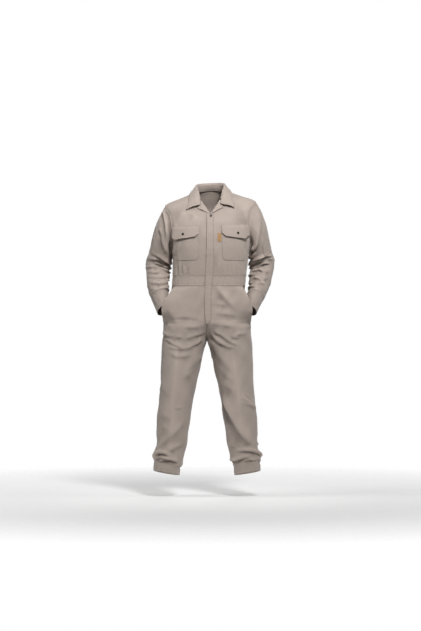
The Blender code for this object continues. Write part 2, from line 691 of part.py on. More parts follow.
def make_sleeve(side, forms):
    """Sleeve and cuff, two tubes end to end."""
    form, turns = forms["sleeve"], armhole_turns()
    front, back = armhole_facing(forms, 1), armhole_facing(forms, -1)
    elbow = np.arange(ELBOW_START, CUFF_SEAM - ELBOW_CELL, ELBOW_CELL)
    rows = {
        "sleeve": np.concatenate([np.arange(0, ELBOW_START, SLEEVE_CELL), elbow, [CUFF_SEAM]]),
        "cuff": np.linspace(CUFF_SEAM, CUFF_END, CUFF_CELLS + 1),
    }
    for name, stations in rows.items():
        angle, station = np.meshgrid(np.concatenate([turns, -turns[-2:0:-1]]), stations)
        outer, facing = form.point(angle, station), form.outward(angle, station)
        if name == "sleeve":
            facing[0] = np.concatenate([front, back[-2:0:-1]])
        grids = for_side(side, (outer, outer - facing * CLOTH))
        wall(f"{name}_{side}", *(drawn_in(grid, SEAM_GAP, True) for grid in grids), closed=True)


def make_leg(side, forms):
    """Front and back of a leg, with rows closest at the ankle's folds and the crotch."""
    for name, rise_foot in (("leg_front", FRONT_RISE_FOOT), ("leg_back", BACK_RISE_FOOT)):
        levels = (HEM, ANKLE, CROTCH, rise_foot, WAIST_FOOT)
        cells = (HEM_CELLS, SHIN_CELLS, CROTCH_CELLS, HIP_CELLS)
        spans = [np.linspace(low, high, n + 1)[:-1] for low, high, n in zip(levels, levels[1:], cells)]
        rows = np.concatenate([*spans, [WAIST_FOOT]])
        share, z = np.meshgrid(np.linspace(0, 1, HALF_CELLS + 1), rows)
        panel(f"{name}_{side}", forms[name], share, z, side)


def make_hip_pocket(side):
    across = np.linspace(FACING_START, 1, FACING_CELLS_ACROSS + 1)
    share, z = np.meshgrid(across, np.linspace(FACING[0][0], FACING[-1][0], FACING_CELLS_UP + 1))
    panel(f"hip_pocket_{side}", Form(facing_place), share, z, side, gap=SEAM_GAP)


# ---------------------------------------------------------------- collar, lapels and placket


def make_collar():
    """Stand, roll and fall in one wall, half of it mirrored."""
    stations = np.linspace(0, len(COLLAR) - 1, COLLAR_CELLS + 1)
    columns = by_row(COLLAR, stations)
    roll, fall, edge = (columns[i : i + 3].T for i in (1, 4, 7))
    seam = trunk_place(columns[0], np.full_like(stations, NECK)) + np.array((0, 0, COLLAR_SEAM_RISE))
    to_neck = -unit(seam * np.array((1, 1, 0)))
    line = np.stack(
        [
            seam,
            (seam + roll) / 2 + to_neck * STAND_BEND,
            roll,
            roll + np.array((0, 0, ROLL_UP)) - to_neck * ROLL_OUT,
            roll * (1 - FALL_SHARE) + fall * FALL_SHARE + np.array((0, 0, FALL_SWELL)),
            fall,
            (fall + edge) / 2 + np.array((0, 0, EDGE_SWELL)),
            edge,
        ]
    )
    whole = np.concatenate([line[:, :-1], mirrored(line)], axis=1)
    facing = unit(np.cross(np.gradient(whole, axis=0), np.gradient(whole, axis=1)))
    wall("collar", whole, whole + facing * CLOTH)


def make_lapel(side, forms):
    """The front's own top corner, folded back along the break line on to the front."""
    share = np.linspace(0, 1, LAPEL_CELLS + 1)
    fold_x, fold_z, edge_x, edge_z = np.array(LAPEL).T[..., None]
    spot = trunk_spot(fold_x + (edge_x - fold_x) * share, fold_z + (edge_z - fold_z) * share)
    grown = np.clip(np.arange(len(LAPEL))[:, None] / 2, 0, 1)
    roll = LAPEL_ROLL * np.sin(math.pi * share**0.6) * grown
    laid_on(f"lapel_{side}", forms["trunk"], *spot, side, lift=CLOSE_GAP, fullness=roll)


def middle_front(x, z, trunk):
    """Points and outward directions beside the middle of the front, from the neck to the crotch."""
    beside = np.abs(x)
    spot = trunk_spot(beside, np.maximum(z, WAIST_TOP))
    level = np.minimum(z, WAIST_FOOT)
    middle, half_width, _ = leg_ring(level, FRONT_RISE_FOOT)
    squareness = by_height(LEG, level)[-1]
    out = (beside - middle) / half_width
    turn = np.arccos(np.clip(np.sign(out) * np.abs(out) ** (squareness / 2), -1, 1))
    legs = Form(leg_place)
    share = np.clip((WAIST_TOP - z) / (WAIST_TOP - WAIST_FOOT), 0, 1)[..., None]
    points = trunk.point(*spot) * (1 - share) + legs.point(turn, level) * share
    facing = unit(trunk.outward(*spot) * (1 - share) + legs.outward(turn, level) * share)
    flip = np.where(x < 0, -1.0, 1.0)
    points = xyz(points[..., 0] * flip, points[..., 1], z)
    return points, xyz(facing[..., 0] * flip, facing[..., 1], facing[..., 2])


def make_placket(trunk):
    """The strip that covers the fastening, over bodice, waistband and fly."""
    upper = np.linspace(PLACKET[-1][0], WAIST_TOP, PLACKET_UPPER_CELLS + 1)
    lower = np.linspace(WAIST_FOOT, PLACKET[0][0], PLACKET_LOWER_CELLS + 1)
    share, z = np.meshgrid(np.linspace(0, 1, PLACKET_CELLS + 1), np.append(upper, lower))
    right, left = by_height(PLACKET, z)
    x = right + (left - right) * share
    z[0] += PLACKET_TOP_SLOPE * np.abs(x[0])
    points, facing = middle_front(x, z, trunk)
    edge = np.clip(1 - (x - right) / PLACKET_EDGE_WIDTH, 0, 1)
    inner = points + facing * (LAYER_GAP + PLACKET_EDGE_LIFT * edge)[..., None]
    wall("placket", inner + facing * CLOTH, inner)


# ---------------------------------------------------------------- pockets, snaps and label


def patch(shape, across, down):
    """x and z of a patch with cut-off lower corners, top row first."""
    inner, outer, top, foot_inner, foot_outer, corner_x, corner_z = shape
    cut = np.append(np.zeros(down), corner_x)[:, None]
    share = 1 - (1 - np.linspace(0, 1, across + 1)) ** PATCH_TURN
    x = inner + cut + (outer - inner - 2 * cut) * share
    foot = foot_inner + (foot_outer - foot_inner) * (x - inner) / (outer - inner)
    raised = np.append(np.full(down, corner_z), 0.0)[:, None]
    return x, top + (foot + raised - top) * np.append(np.linspace(0, 1, down), 1.0)[:, None]


def swell(rows, columns):
    """0 at the edges of a grid and 1 in its middle."""
    return np.outer(np.sin(np.linspace(0, math.pi, rows)), np.sin(np.linspace(0, math.pi, columns)))


def flap_stand(z):
    """How far the flap stands off at a height, over the pocket and towards its foot."""
    hang = (FLAP[2] - z) / (FLAP[2] - FLAP[4])
    return FLAP_PILE * np.minimum(1, hang / FLAP_PILE_AT) + FLAP_LIFT * hang**2


def make_chest_pocket(side, forms):
    trunk = forms["trunk"]
    x, z = patch(CHEST_POCKET, *CHEST_POCKET_CELLS)
    fullness = POCKET_FULLNESS * swell(*x.shape)
    laid_on(f"chest_pocket_{side}", trunk, *trunk_spot(x, z), side, fullness=fullness)
    x, z = patch(FLAP, *FLAP_CELLS)
    laid_on(f"flap_{side}", trunk, *trunk_spot(x, z), side, fullness=flap_stand(z))
    lift = LAYER_GAP + flap_stand(CHEST_SNAP[1]) + CLOTH + SNAP_GAP
    make_snap(f"chest_snap_{side}", trunk, CHEST_SNAP, lift, side)


def make_snap(name, trunk, place, lift, side="left"):
    """A snap's domed cap, standing on the cloth."""
    spot = trunk_spot(*np.array(place)[:, None])
    facing = trunk.outward(*spot)
    base = trunk.point(*spot) + facing * (lift + SNAP_HEIGHT / 2)
    (facing,), (base,) = (grid.tolist() for grid in for_side(side, (facing[None], base[None])))
    turn = Vector(facing[0]).to_track_quat("Z", "Y").to_matrix().to_4x4()
    bm = bmesh.new()
    bmesh.ops.create_cone(
        bm,
        cap_ends=True,
        segments=SNAP_SIDES,
        radius1=SNAP_RADIUS,
        radius2=SNAP_TOP_RADIUS,
        depth=SNAP_HEIGHT,
        matrix=Matrix.Translation(Vector(stand(base[0]))) @ turn,
    )
    add_object(name, bm, "snap")


def make_label(trunk):
    spot = trunk_spot(*np.meshgrid(np.linspace(*LABEL_X, 3), np.linspace(*LABEL_Z, 5)))
    laid_on("label", trunk, *spot, lift=CLOSE_GAP, thickness=TAB, material="label")


def make_sleeve_pocket(sleeve):
    turns = np.radians(np.linspace(*SLEEVE_POCKET_TURNS, SLEEVE_POCKET_CELLS + 1))
    stations = np.linspace(*SLEEVE_POCKET_STATIONS, SLEEVE_POCKET_CELLS + 1)
    angle, station = np.meshgrid(turns, stations)
    fullness = SLEEVE_POCKET_FULLNESS * swell(*angle.shape)
    laid_on("sleeve_pocket", sleeve, angle, station, fullness=fullness)


def main():
    for old in list(bpy.data.objects):
        bpy.data.objects.remove(old)
    bpy.context.scene.collection.children.link(bpy.data.collections.new(COLLECTION))
    forms = {side: forms_of(side) for side in ("left", "right")}
    for side in forms:
        make_front(side, forms[side])
        make_sleeve(side, forms[side])
        make_leg(side, forms[side])
        make_hip_pocket(side)
        make_chest_pocket(side, forms[side])
        make_lapel(side, forms[side])
    make_back(forms)
    make_waistband()
    make_collar()
    make_placket(forms["left"]["trunk"])
    make_label(forms["left"]["trunk"])
    make_sleeve_pocket(forms["left"]["sleeve"])
    make_snap("neck_snap", forms["left"]["trunk"], NECK_SNAP, LAYER_GAP + CLOTH + SNAP_GAP)


main()
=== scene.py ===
"""The cloth, sewing and finish of a boiler suit, worn and hollow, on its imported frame."""

import math

import bmesh
import bpy
import numpy as np
from mathutils import Matrix, Vector


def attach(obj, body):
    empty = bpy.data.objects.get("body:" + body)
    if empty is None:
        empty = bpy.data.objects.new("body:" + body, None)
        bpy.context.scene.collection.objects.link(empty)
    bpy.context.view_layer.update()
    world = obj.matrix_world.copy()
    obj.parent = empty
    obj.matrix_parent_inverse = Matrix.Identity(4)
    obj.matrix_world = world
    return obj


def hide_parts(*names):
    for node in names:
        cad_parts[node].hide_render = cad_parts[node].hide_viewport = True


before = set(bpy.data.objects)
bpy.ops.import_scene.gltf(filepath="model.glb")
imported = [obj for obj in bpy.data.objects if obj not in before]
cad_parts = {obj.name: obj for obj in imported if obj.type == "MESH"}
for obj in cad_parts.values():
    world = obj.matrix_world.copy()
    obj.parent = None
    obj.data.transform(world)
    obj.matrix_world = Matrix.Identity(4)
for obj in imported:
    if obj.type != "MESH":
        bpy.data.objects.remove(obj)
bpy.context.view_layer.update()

# ------------------------------------------------------------------ the cut, in metres

# The front faces -Y, and +X is the wearer's left. Tables repeat the frame's own forms.
WAIST_TOP, WAIST_FOOT, CROTCH, HEM = -0.421, -0.467, -0.739, -1.410
LEAN, LEAN_START, LEAN_FULL = -0.0175, -0.30, -0.61
SHOULDER_TILT, TILT_NONE, TILT_FULL = 0.045, -0.35, -0.05
FLOOR = -1.530

# Bodice: side_z, front_z, back_z, half_width, front, back, squareness
TRUNK = (
    (-0.421, -0.421, -0.421, 0.184, 0.114, 0.104, 2.3),
    (-0.375, -0.375, -0.375, 0.187, 0.122, 0.106, 2.4),
    (-0.310, -0.312, -0.310, 0.191, 0.131, 0.114, 2.5),
    (-0.250, -0.262, -0.245, 0.200, 0.134, 0.121, 2.5),
    (-0.175, -0.205, -0.180, 0.214, 0.131, 0.125, 2.5),
    (-0.095, -0.150, -0.115, 0.226, 0.121, 0.121, 2.4),
    (-0.053, -0.112, -0.070, 0.227, 0.108, 0.110, 2.2),
    (-0.022, -0.078, -0.028, 0.152, 0.093, 0.090, 2.1),
    (0.006, -0.045, 0.016, 0.076, 0.071, 0.070, 2.0),
)
UNDERARM, TIP, NECK = 3.0, 6.0, 8.0
ARMHOLE_REACH = math.radians(33)

# Lapel: fold_x, fold_z, edge_x, edge_z
LAPEL = (
    (0.0008, -0.1060, 0.0012, -0.1090),
    (0.0130, -0.0905, 0.0210, -0.1005),
    (0.0250, -0.0710, 0.0415, -0.0905),
    (0.0340, -0.0580, 0.0625, -0.0805),
    (0.0410, -0.0470, 0.0565, -0.0640),
    (0.0460, -0.0390, 0.0550, -0.0540),
)
FOLD_AT_NECK = math.radians(40)

# Hips and legs: z, inner_x, outer_x, side_y, front, back, squareness
LEG = (
    (-1.410, 0.139, 0.269, 0.004, 0.078, 0.084, 2.1),
    (-1.386, 0.136, 0.269, 0.003, 0.078, 0.082, 2.1),
    (-1.356, 0.127, 0.266, 0.002, 0.079, 0.081, 2.1),
    (-1.326, 0.118, 0.268, 0.001, 0.080, 0.082, 2.1),
    (-1.295, 0.110, 0.263, 0.001, 0.079, 0.083, 2.1),
    (-1.265, 0.103, 0.2525, 0.000, 0.078, 0.084, 2.1),
    (-1.205, 0.096, 0.2545, 0.000, 0.080, 0.087, 2.1),
    (-1.144, 0.086, 0.252, 0.000, 0.083, 0.088, 2.1),
    (-1.053, 0.073, 0.242, 0.000, 0.090, 0.088, 2.1),
    (-0.963, 0.055, 0.234, 0.000, 0.097, 0.092, 2.1),
    (-0.902, 0.040, 0.232, 0.000, 0.102, 0.098, 2.1),
    (-0.842, 0.0277, 0.2305, 0.000, 0.107, 0.106, 2.1),
    (-0.781, 0.014, 0.2275, 0.000, 0.111, 0.115, 2.1),
    (-0.739, 0.000, 0.2235, 0.000, 0.114, 0.123, 2.1),
    (-0.700, 0.000, 0.2205, 0.000, 0.118, 0.130, 2.1),
    (-0.660, 0.000, 0.219, 0.000, 0.120, 0.134, 2.2),
    (-0.605, 0.000, 0.206, 0.015, 0.120, 0.134, 2.2),
    (-0.572, 0.000, 0.197, 0.020, 0.119, 0.130, 2.2),
    (-0.540, 0.000, 0.192, 0.018, 0.118, 0.122, 2.2),
    (-0.500, 0.000, 0.187, 0.010, 0.116, 0.112, 2.3),
    (-0.467, 0.000, 0.184, 0.000, 0.114, 0.104, 2.3),
)
FRONT_RISE_FOOT, BACK_RISE_FOOT = -0.640, -0.575
HEM_RISE_FRONT, HEM_DROP_BACK, HEM_RISE_OUTSIDE, HEM_RISE_REACH = 0.007, 0.010, 0.011, 0.10

# Slanted edge of the hip pocket: z, ring_angle, x, y
POCKET_EDGE = (
    (-0.660, math.radians(0.0), 0.219, 0.000),
    (-0.635, math.radians(2.0), 0.2215, -0.058),
    (-0.605, math.radians(5.0), 0.2265, -0.100),
    (-0.572, math.radians(9.0), 0.2265, -0.108),
    (-0.540, math.radians(13.0), 0.2137, -0.104),
    (-0.500, math.radians(18.0), 0.190, -0.082),
    (-0.467, math.radians(22.0), 0.172, -0.050),
)
PUSH_FADE_FOOT, PUSH_FADE_TOP, PUSH_FALL = 0.012, 0.020, 2.5

# Back wall of the hip pocket: z, seam_inset, middle_x, middle_y, end_x, end_y
FACING = (
    (-0.700, 0.0100, 0.165, -0.050, 0.120, -0.094),
    (-0.665, 0.0050, 0.158, -0.040, 0.116, -0.096),
    (-0.640, 0.0012, 0.154, -0.030, 0.112, -0.097),
    (-0.605, 0.0005, 0.150, -0.022, 0.108, -0.097),
    (-0.572, 0.0005, 0.152, -0.022, 0.106, -0.096),
    (-0.540, 0.0005, 0.160, -0.032, 0.104, -0.095),
    (-0.500, 0.0005, 0.170, -0.044, 0.102, -0.092),
    (-0.469, 0.0005, 0.174, -0.050, 0.100, -0.089),
)

# Sleeve: outer_x, outer_z, inner_x, inner_z, mid_y, half_depth, front_rise
SLEEVE = (
    (0.2290, -0.053, 0.2000, -0.250, 0.000, 0.078, 0.000),
    (0.2600, -0.112, 0.2045, -0.264, 0.006, 0.084, -0.006),
    (0.2840, -0.175, 0.2015, -0.284, 0.016, 0.080, -0.014),
    (0.2990, -0.240, 0.1980, -0.306, 0.031, 0.075, -0.018),
    (0.3120, -0.297, 0.1965, -0.330, 0.049, 0.070, -0.014),
    (0.3240, -0.335, 0.1980, -0.353, 0.063, 0.066, -0.004),
    (0.3250, -0.370, 0.2020, -0.378, 0.066, 0.063, 0.008),
    (0.3200, -0.410, 0.2020, -0.408, 0.057, 0.060, 0.018),
    (0.3130, -0.450, 0.2020, -0.442, 0.041, 0.057, 0.024),
    (0.3020, -0.492, 0.2010, -0.475, 0.021, 0.053, 0.027),
    (0.2830, -0.532, 0.1980, -0.508, -0.003, 0.049, 0.028),
    (0.2660, -0.567, 0.1940, -0.542, -0.026, 0.045, 0.027),
    (0.2490, -0.604, 0.1870, -0.576, -0.046, 0.040, 0.024),
)
CUFF_SEAM, CUFF_END = 10.0, 12.0
ARMHOLE_BLEND = 2.0

# Collar: neck_angle, roll_x, roll_y, roll_z, fall_x, fall_y, fall_z, edge_x, edge_y, edge_z
COLLAR = (
    (math.radians(40), 0.0505, -0.076, -0.034, 0.0545, -0.099, -0.060, 0.1210, -0.101, -0.080),
    (math.radians(31), 0.0550, -0.063, -0.008, 0.0790, -0.089, -0.044, 0.1170, -0.083, -0.065),
    (math.radians(16), 0.0620, -0.042, 0.018, 0.0880, -0.062, -0.014, 0.1120, -0.056, -0.034),
    (math.radians(0), 0.0660, -0.016, 0.036, 0.0900, -0.022, 0.016, 0.1075, -0.020, -0.0035),
    (math.radians(-28), 0.0610, 0.020, 0.044, 0.0820, 0.036, 0.026, 0.0995, 0.046, 0.003),
    (math.radians(-60), 0.0370, 0.047, 0.048, 0.0480, 0.068, 0.030, 0.0590, 0.086, 0.000),
    (math.radians(-90), 0.0000, 0.056, 0.049, 0.0000, 0.080, 0.031, 0.0000, 0.098, -0.002),
)

# Patches from in front: inner, outer, top, foot_inner, foot_outer, corner_x, corner_z
CHEST_POCKET = (0.0590, 0.1815, -0.182, -0.340, -0.342, 0.014, 0.016)
FLAP = (0.0560, 0.1890, -0.168, -0.221, -0.237, 0.020, 0.016)
LABEL = (0.0365, 0.0535, -0.207, -0.249, -0.249, 0.0, 0.0)
# Placket: z, right_x, left_x of its edges
PLACKET = (
    (-0.660, -0.0062, 0.0090),
    (-0.640, -0.0082, 0.0190),
    (-0.600, -0.0114, 0.0205),
    (-0.520, -0.0140, 0.0180),
    (-0.467, -0.0177, 0.0178),
    (-0.421, -0.0205, 0.0190),
    (-0.250, -0.0200, 0.0160),
    (-0.1115, -0.0180, 0.0155),
)
PLACKET_TOP_SLOPE = 0.46
CHEST_SNAP, NECK_SNAP = (0.1345, -0.208), (0.0015, -0.1200)
# Sleeve pocket: its front and back edge as angles round the sleeve, then its top and foot station
SLEEVE_POCKET = (math.radians(74), math.radians(24), 2.75, 3.8)

# ------------------------------------------------------------------ cloth and its folds

CLOTH = 0.0011
THICKNESS = {"collar": 0.0018, "placket": 0.0016, "label": 0.0008}
CELL, SLEEVE_CELL, BAND_CELL, COLLAR_CELL = 0.0040, 0.0032, 0.0050, 0.0028
FINE, DENSE = 241, 801  # points at which a row and a column are measured out
# Where columns are measured: an angle round the trunk or the sleeve, or halfway over a panel
LOW_TRUNK_AT, TOP_TRUNK_AT, SLEEVE_AT, SLEEVE_POCKET_AT = 0.3, 0.9, 1.2, math.radians(50)
HALFWAY = 0.5
SEWN = (0.0, 0.0012, 0.0030, 0.0055, 0.0080, 0.0105)  # lines of a grid next to a seam
STITCH_PITCH, STITCH_LENGTH, THREAD = 0.0034, 0.0026, 0.00055
THREAD_RISE = 0.15  # how far a stitch's middle stands off the cloth, in thread widths

# How far what lies on the bodice stands off it, in metres
POCKET_LIFT, POCKET_FULL = 0.0016, 0.0035
FLAP_LIFT, FLAP_STAND, FLAP_SWING = 0.0022, 0.0042, 0.0090
FLAP_STANDS_BY = 0.16  # share of the flap's length over which it comes to stand off
LAPEL_LIFT, LAPEL_FULL, LAPEL_RISE = 0.0014, 0.0030, 0.0042
PLACKET_LIFT, PLACKET_RISE, OVER_BAND, BAND_GROOVE = 0.0012, 0.0044, 0.0010, 0.0011
SLOPE_REACH, BAND_STEP, GROOVE_AT, GROOVE_WIDTH = 0.03, 0.006, 0.0010, 0.0022
LABEL_LIFT, NECK_SNAP_LIFT, SLEEVE_POCKET_LIFT = 0.0014, 0.0036, 0.0024
COLLAR_STATIONS = 61
COLLAR_INSIDE, COLLAR_SUNK, COLLAR_ROLL = 0.0016, 0.0040, 0.0040
ROLL_TOP, FALL_ROUND, EDGE_ROUND = 0.0045, 0.0060, 0.0030

CAMERA_AWAY, EYE_LEVEL, VIEW_HEIGHT = 12.0, -0.617, 3.18024
OUT_OF_SIGHT, EDGE_ON = 0.15, 0.45  # how far a surface faces the eye
WALK_STEP, WALK_STEPS = 0.009, 4  # a fold goes on round a limb from its outline
KEEP_TO = 0.7  # how much of the way back to the surface each of these steps is drawn
LINE_STEP, REACH = 0.0015, 5  # between the points of a fold's line; how many widths it moves
SOFT, SHARP = 0.6, 1.5  # depth over width of a soft and of a sharp fold
SOFTER = 1.25  # how much wider a soft fold is made
KEEN, KEEN_FALL = 0.6, 1.2  # how keen a sharp fold's foot is, and how soon it is left behind
LEAN_OVER = 0.10  # how far a sharp fold's ridge leans over its crease, as a share of its depth
END_SHARE, TAPER = 0.015, 0.6  # how a fold dies out at its ends
# A fold across itself, in its own widths: its crease, and its ridge's place, sides and height
CREASE_BEHIND, CREASE_BEFORE = 1.6, 0.7
RIDGE_AT, RIDGE_BEHIND, RIDGE_BEFORE, RIDGE_HEIGHT = 1.25, 0.8, 1.7, 0.75
STEEP = 0.35  # a fold this upright crosses the cloth sideways
UNEVEN = ((0.22, 2.3), (0.14, 5.1))  # how much, and how often, a fold's depth changes along it
SEAM_BLEND, MOUTH_FADE = 0.016, 0.025
PRESSED = 0.35  # a low ridge is a crease pressed in with an iron, sharp at its top
# Painted shade in a fold's crease and paler wear on its ridge, by how far it sinks or rises: the
# height for the full effect, then its limits
SHADE_AND_WEAR_BY_FOLD, PALE_REACH, MOST_PALE, MOST_DARK = 0.0060, 1.1, 0.8, 0.9

RIPPLE_WAVES = 9
# The cloth's gentle unevenness all over a part: seed, size, amount
RIPPLES = {
    "bodice": (5, 0.09, 0.0006),
    "sleeve": (31, 0.05, 0.0008),
    "cuff": (33, 0.03, 0.0005),
    "leg": (45, 0.08, 0.0008),
    "hip_pocket": (51, 0.05, 0.001),
}

# Folds as they show from in front or behind, at x and z, or from outside a limb, at y and z, all in
# millimetres. Each is a trough with a softer ridge above it, or a ridge alone where its depth is
# below zero: depth, width, places along it
FOLDS = {
    "sleeve_right": {
        "front": (
            (10.5, 8.5, (-233, -73), (-213, -113), (-204, -151),
             (-199, -197), (-198, -242), (-200, -292)),
            (8, 8, (-244, -106), (-237, -156), (-232, -207), (-227, -267)),
            (6.2, 8, (-266, -182), (-257, -216), (-247, -267), (-221, -318)),
            (12.5, 7, (-297, -306), (-260, -329), (-232, -348), (-207, -362)),
            (9, 6, (-310, -339), (-288, -339), (-255, -346), (-207, -373)),
            (11.5, 5.2, (-285, -357), (-249, -368), (-207, -385)),
            (10, 5, (-249, -384), (-226, -393), (-207, -402)),
            (5, 5, (-319, -382), (-295, -377), (-271, -379)),
            (4, 5, (-316, -402), (-283, -407), (-255, -402)),
            (5, 6, (-310, -429), (-266, -432), (-215, -427)),
            (6, 6, (-308, -458), (-260, -463), (-215, -455)),
            (8, 6, (-305, -488), (-271, -494), (-249, -498), (-221, -485), (-204, -491)),
            (5, 5, (-294, -508), (-260, -511)),
            (6, 5, (-229, -442), (-207, -446)),
            (6, 5, (-227, -472), (-207, -476)),
        ),
    },
    "sleeve_left": {
        "front": (
            (9.5, 9, (206, -162), (192, -228), (186, -284)),
            (8, 7, (256, -129), (250, -211), (242, -262), (225, -289), (202, -295)),
            (13, 6, (309, -322), (273, -324), (239, -337), (211, -351)),
            (11, 6, (262, -346), (234, -354), (203, -368)),
            (11, 8, (198, -329), (231, -318)),
            (4, 5, (315, -343), (290, -337)),
            (8, 5, (298, -362), (273, -359), (245, -373), (223, -382)),
            (9, 5, (200, -382), (223, -379)),
            (9, 5, (262, -399), (242, -390), (211, -399)),
            (9, 5, (200, -418), (223, -415)),
            (7, 5, (250, -440), (228, -432), (206, -438)),
            (8, 5, (198, -460), (211, -458)),
            (4, 5, (273, -466), (250, -458)),
            (8, 5, (234, -483), (211, -474), (198, -477)),
            (6, 5, (245, -511), (228, -497), (211, -499)),
            (3, 8, (268, -407), (306, -402)),
            (3, 8, (260, -444), (297, -433)),
        ),
    },
    "bodice": {
        "front": (
            (3.2, 6, (-168, -340), (-164, -388), (-163, -433)),
            (2.8, 6, (-146, -363), (-143, -393), (-141, -433)),
            (1.6, 8, (-111, -378), (-113, -433)),
            (-1.8, 4.5, (92, -348), (95, -388), (97, -428)),
            (-2, 4.5, (114, -338), (118, -388), (120, -423)),
            (-2, 4.5, (140, -343), (141, -388), (144, -428)),
            (1.5, 9, (30, -307), (28, -348), (26, -393)),
            (-1.6, 6, (76, -348), (71, -423)),
            (8.5, 9, (-198, -126), (-192, -197), (-190, -267)),
            (2.5, 18, (-144, -66), (-169, -116), (-184, -166)),
            (6, 9, (197, -136), (183, -233), (180, -297)),
            (2.5, 18, (139, -66), (164, -116), (179, -166)),
            (2.5, 14, (-93, -106), (-108, -146)),
            (2.4, 7, (-138, -239), (-151, -287), (-162, -328)),
        ),
        "back": (
            (3.4, 10, (188, -152), (152, -176), (108, -190)),
            (4, 11, (-190, -137), (-158, -166), (-121, -180)),
            (4.5, 12, (184, -112), (174, -180), (170, -262)),
            (4.2, 13, (-182, -102), (-174, -162), (-166, -232)),
            (2.4, 16, (-12, -205), (-22, -284), (-16, -352)),
            (2.2, 14, (62, -236), (52, -302), (60, -356)),
            (3.8, 10, (174, -288), (148, -318), (106, -334)),
            (4.2, 10, (-172, -272), (-136, -308), (-92, -326)),
            (3, 11, (-152, -384), (-96, -370), (-34, -378)),
            (3.6, 11, (36, -366), (94, -376), (156, -364)),
            (2.2, 15, (-112, -82), (-58, -100), (-6, -96)),
        ),
    },
    "leg_right": {
        "front": (
            (5.5, 6, (-237, -716), (-228, -720), (-207, -730), (-175, -724)),
            (4, 6, (-229, -744), (-212, -754), (-192, -767), (-166, -779), (-139, -789)),
            (3, 7, (-199, -743), (-164, -737), (-137, -739)),
            (4.5, 7, (-30, -710), (-63, -722), (-94, -733), (-125, -747)),
            (4.8, 7, (-38, -741), (-59, -763), (-90, -774)),
            (2.8, 9, (-133, -687), (-90, -689), (-36, -680)),
            (4.5, 7, (-212, -783), (-175, -794), (-137, -794), (-102, -788), (-68, -766)),
            (3.5, 8, (-207, -813), (-175, -834), (-137, -833), (-102, -825)),
            (3.5, 13, (-118, -905), (-98, -887), (-78, -871), (-53, -849)),
            (3, 14, (-139, -948), (-108, -927), (-76, -892)),
            (2.2, 10, (-185, -637), (-135, -637), (-93, -643), (-38, -655)),
            (3, 13, (-222, -595), (-208, -623), (-176, -673)),
            (3, 11, (-232, -650), (-214, -680), (-194, -698)),
            (2.8, 6, (-181, -1089), (-164, -1091), (-143, -1089)),
            (3.5, 18, (-255, -1129), (-224, -1149), (-197, -1147)),
            (3.5, 18, (-257, -1179), (-229, -1202), (-209, -1194)),
            (4.2, 11, (-265, -1289), (-228, -1262), (-186, -1225), (-155, -1192), (-132, -1161)),
            (5, 8, (-214, -1307), (-177, -1293), (-141, -1270)),
            (12.5, 7, (-276, -1318), (-260, -1315), (-237, -1318), (-207, -1333)),
            (12.5, 7, (-265, -1329), (-228, -1344), (-196, -1353), (-164, -1364)),
            (5, 6, (-275, -1341), (-256, -1344)),
            (6, 5, (-265, -1353), (-228, -1352)),
            (3.5, 12, (-255, -963), (-239, -1003), (-204, -1028)),
            (-8, 24, (-171, -766), (-175, -833), (-179, -917),
             (-192, -1035), (-194, -1144), (-204, -1265)),
            (-1.7, 5, (-171, -766), (-175, -833), (-179, -917),
             (-192, -1035), (-194, -1144), (-204, -1265)),
        ),
        "outer": (
            (-8.5, 17, (-50, -1318), (0, -1322), (45, -1330)),
        ),
        "back": (
            (6, 10, (-40, -772), (-86, -792), (-146, -784)),
            (4.5, 11, (-212, -700), (-168, -734), (-108, -752)),
            (3.2, 13, (-196, -632), (-150, -668), (-92, -690)),
        ),
    },
    "leg_left": {
        "front": (
            (7, 8, (-16, -693), (7, -724), (30, -751), (57, -769), (84, -784), (115, -786)),
            (5.5, 7, (13, -701), (26, -710), (57, -728), (84, -751), (107, -763), (131, -770)),
            (3.5, 7, (118, -727), (154, -719), (186, -715)),
            (3.5, 6, (101, -727), (123, -736), (149, -732)),
            (2.8, 9, (-5, -668), (68, -675), (123, -685)),
            (6, 19, (10, -786), (30, -825), (61, -867)),
            (2.6, 16, (19, -822), (65, -877), (115, -922)),
            (2.8, 16, (31, -884), (73, -934), (132, -976)),
            (3.2, 18, (53, -973), (98, -1006), (136, -1052)),
            (4.8, 11, (19, -476), (49, -522), (76, -554), (117, -591)),
            (2.5, 9, (26, -568), (76, -577)),
            (2.5, 10, (15, -615), (86, -622), (136, -627)),
            (3.2, 6, (156, -1067), (179, -1070), (199, -1073), (219, -1085)),
            (-5, 6, (157, -1027), (186, -1046), (216, -1074)),
            (-4, 5, (181, -1011), (204, -1036), (219, -1063)),
            (11.5, 15, (66, -1076), (77, -1106), (97, -1152), (125, -1197),
             (148, -1229), (175, -1257), (212, -1280)),
            (12, 7, (129, -1305), (171, -1303), (207, -1305), (244, -1316)),
            (11, 7, (106, -1353), (143, -1346), (171, -1339), (198, -1335)),
            (7, 5, (171, -1353), (198, -1348), (230, -1349)),
            (6, 5, (222, -1332), (244, -1348)),
            (3, 7, (149, -691), (194, -683)),
            (-8, 24, (111, -791), (119, -892), (132, -993), (140, -1060), (149, -1159), (156, -1245)),
            (-1.7, 5, (111, -791), (119, -892), (132, -993), (140, -1060), (149, -1159), (156, -1245)),
        ),
        "outer": (
            (-7, 14, (-50, -1318), (0, -1322), (45, -1330)),
        ),
        "back": (
            (6.4, 10, (4, -766), (46, -788), (102, -778)),
            (4.5, 11, (172, -690), (128, -722), (70, -744)),
            (3.4, 13, (150, -644), (104, -676), (52, -688)),
        ),
    },
}
MILLIMETRE = 0.001


# ------------------------------------------------------------------ curves and forms


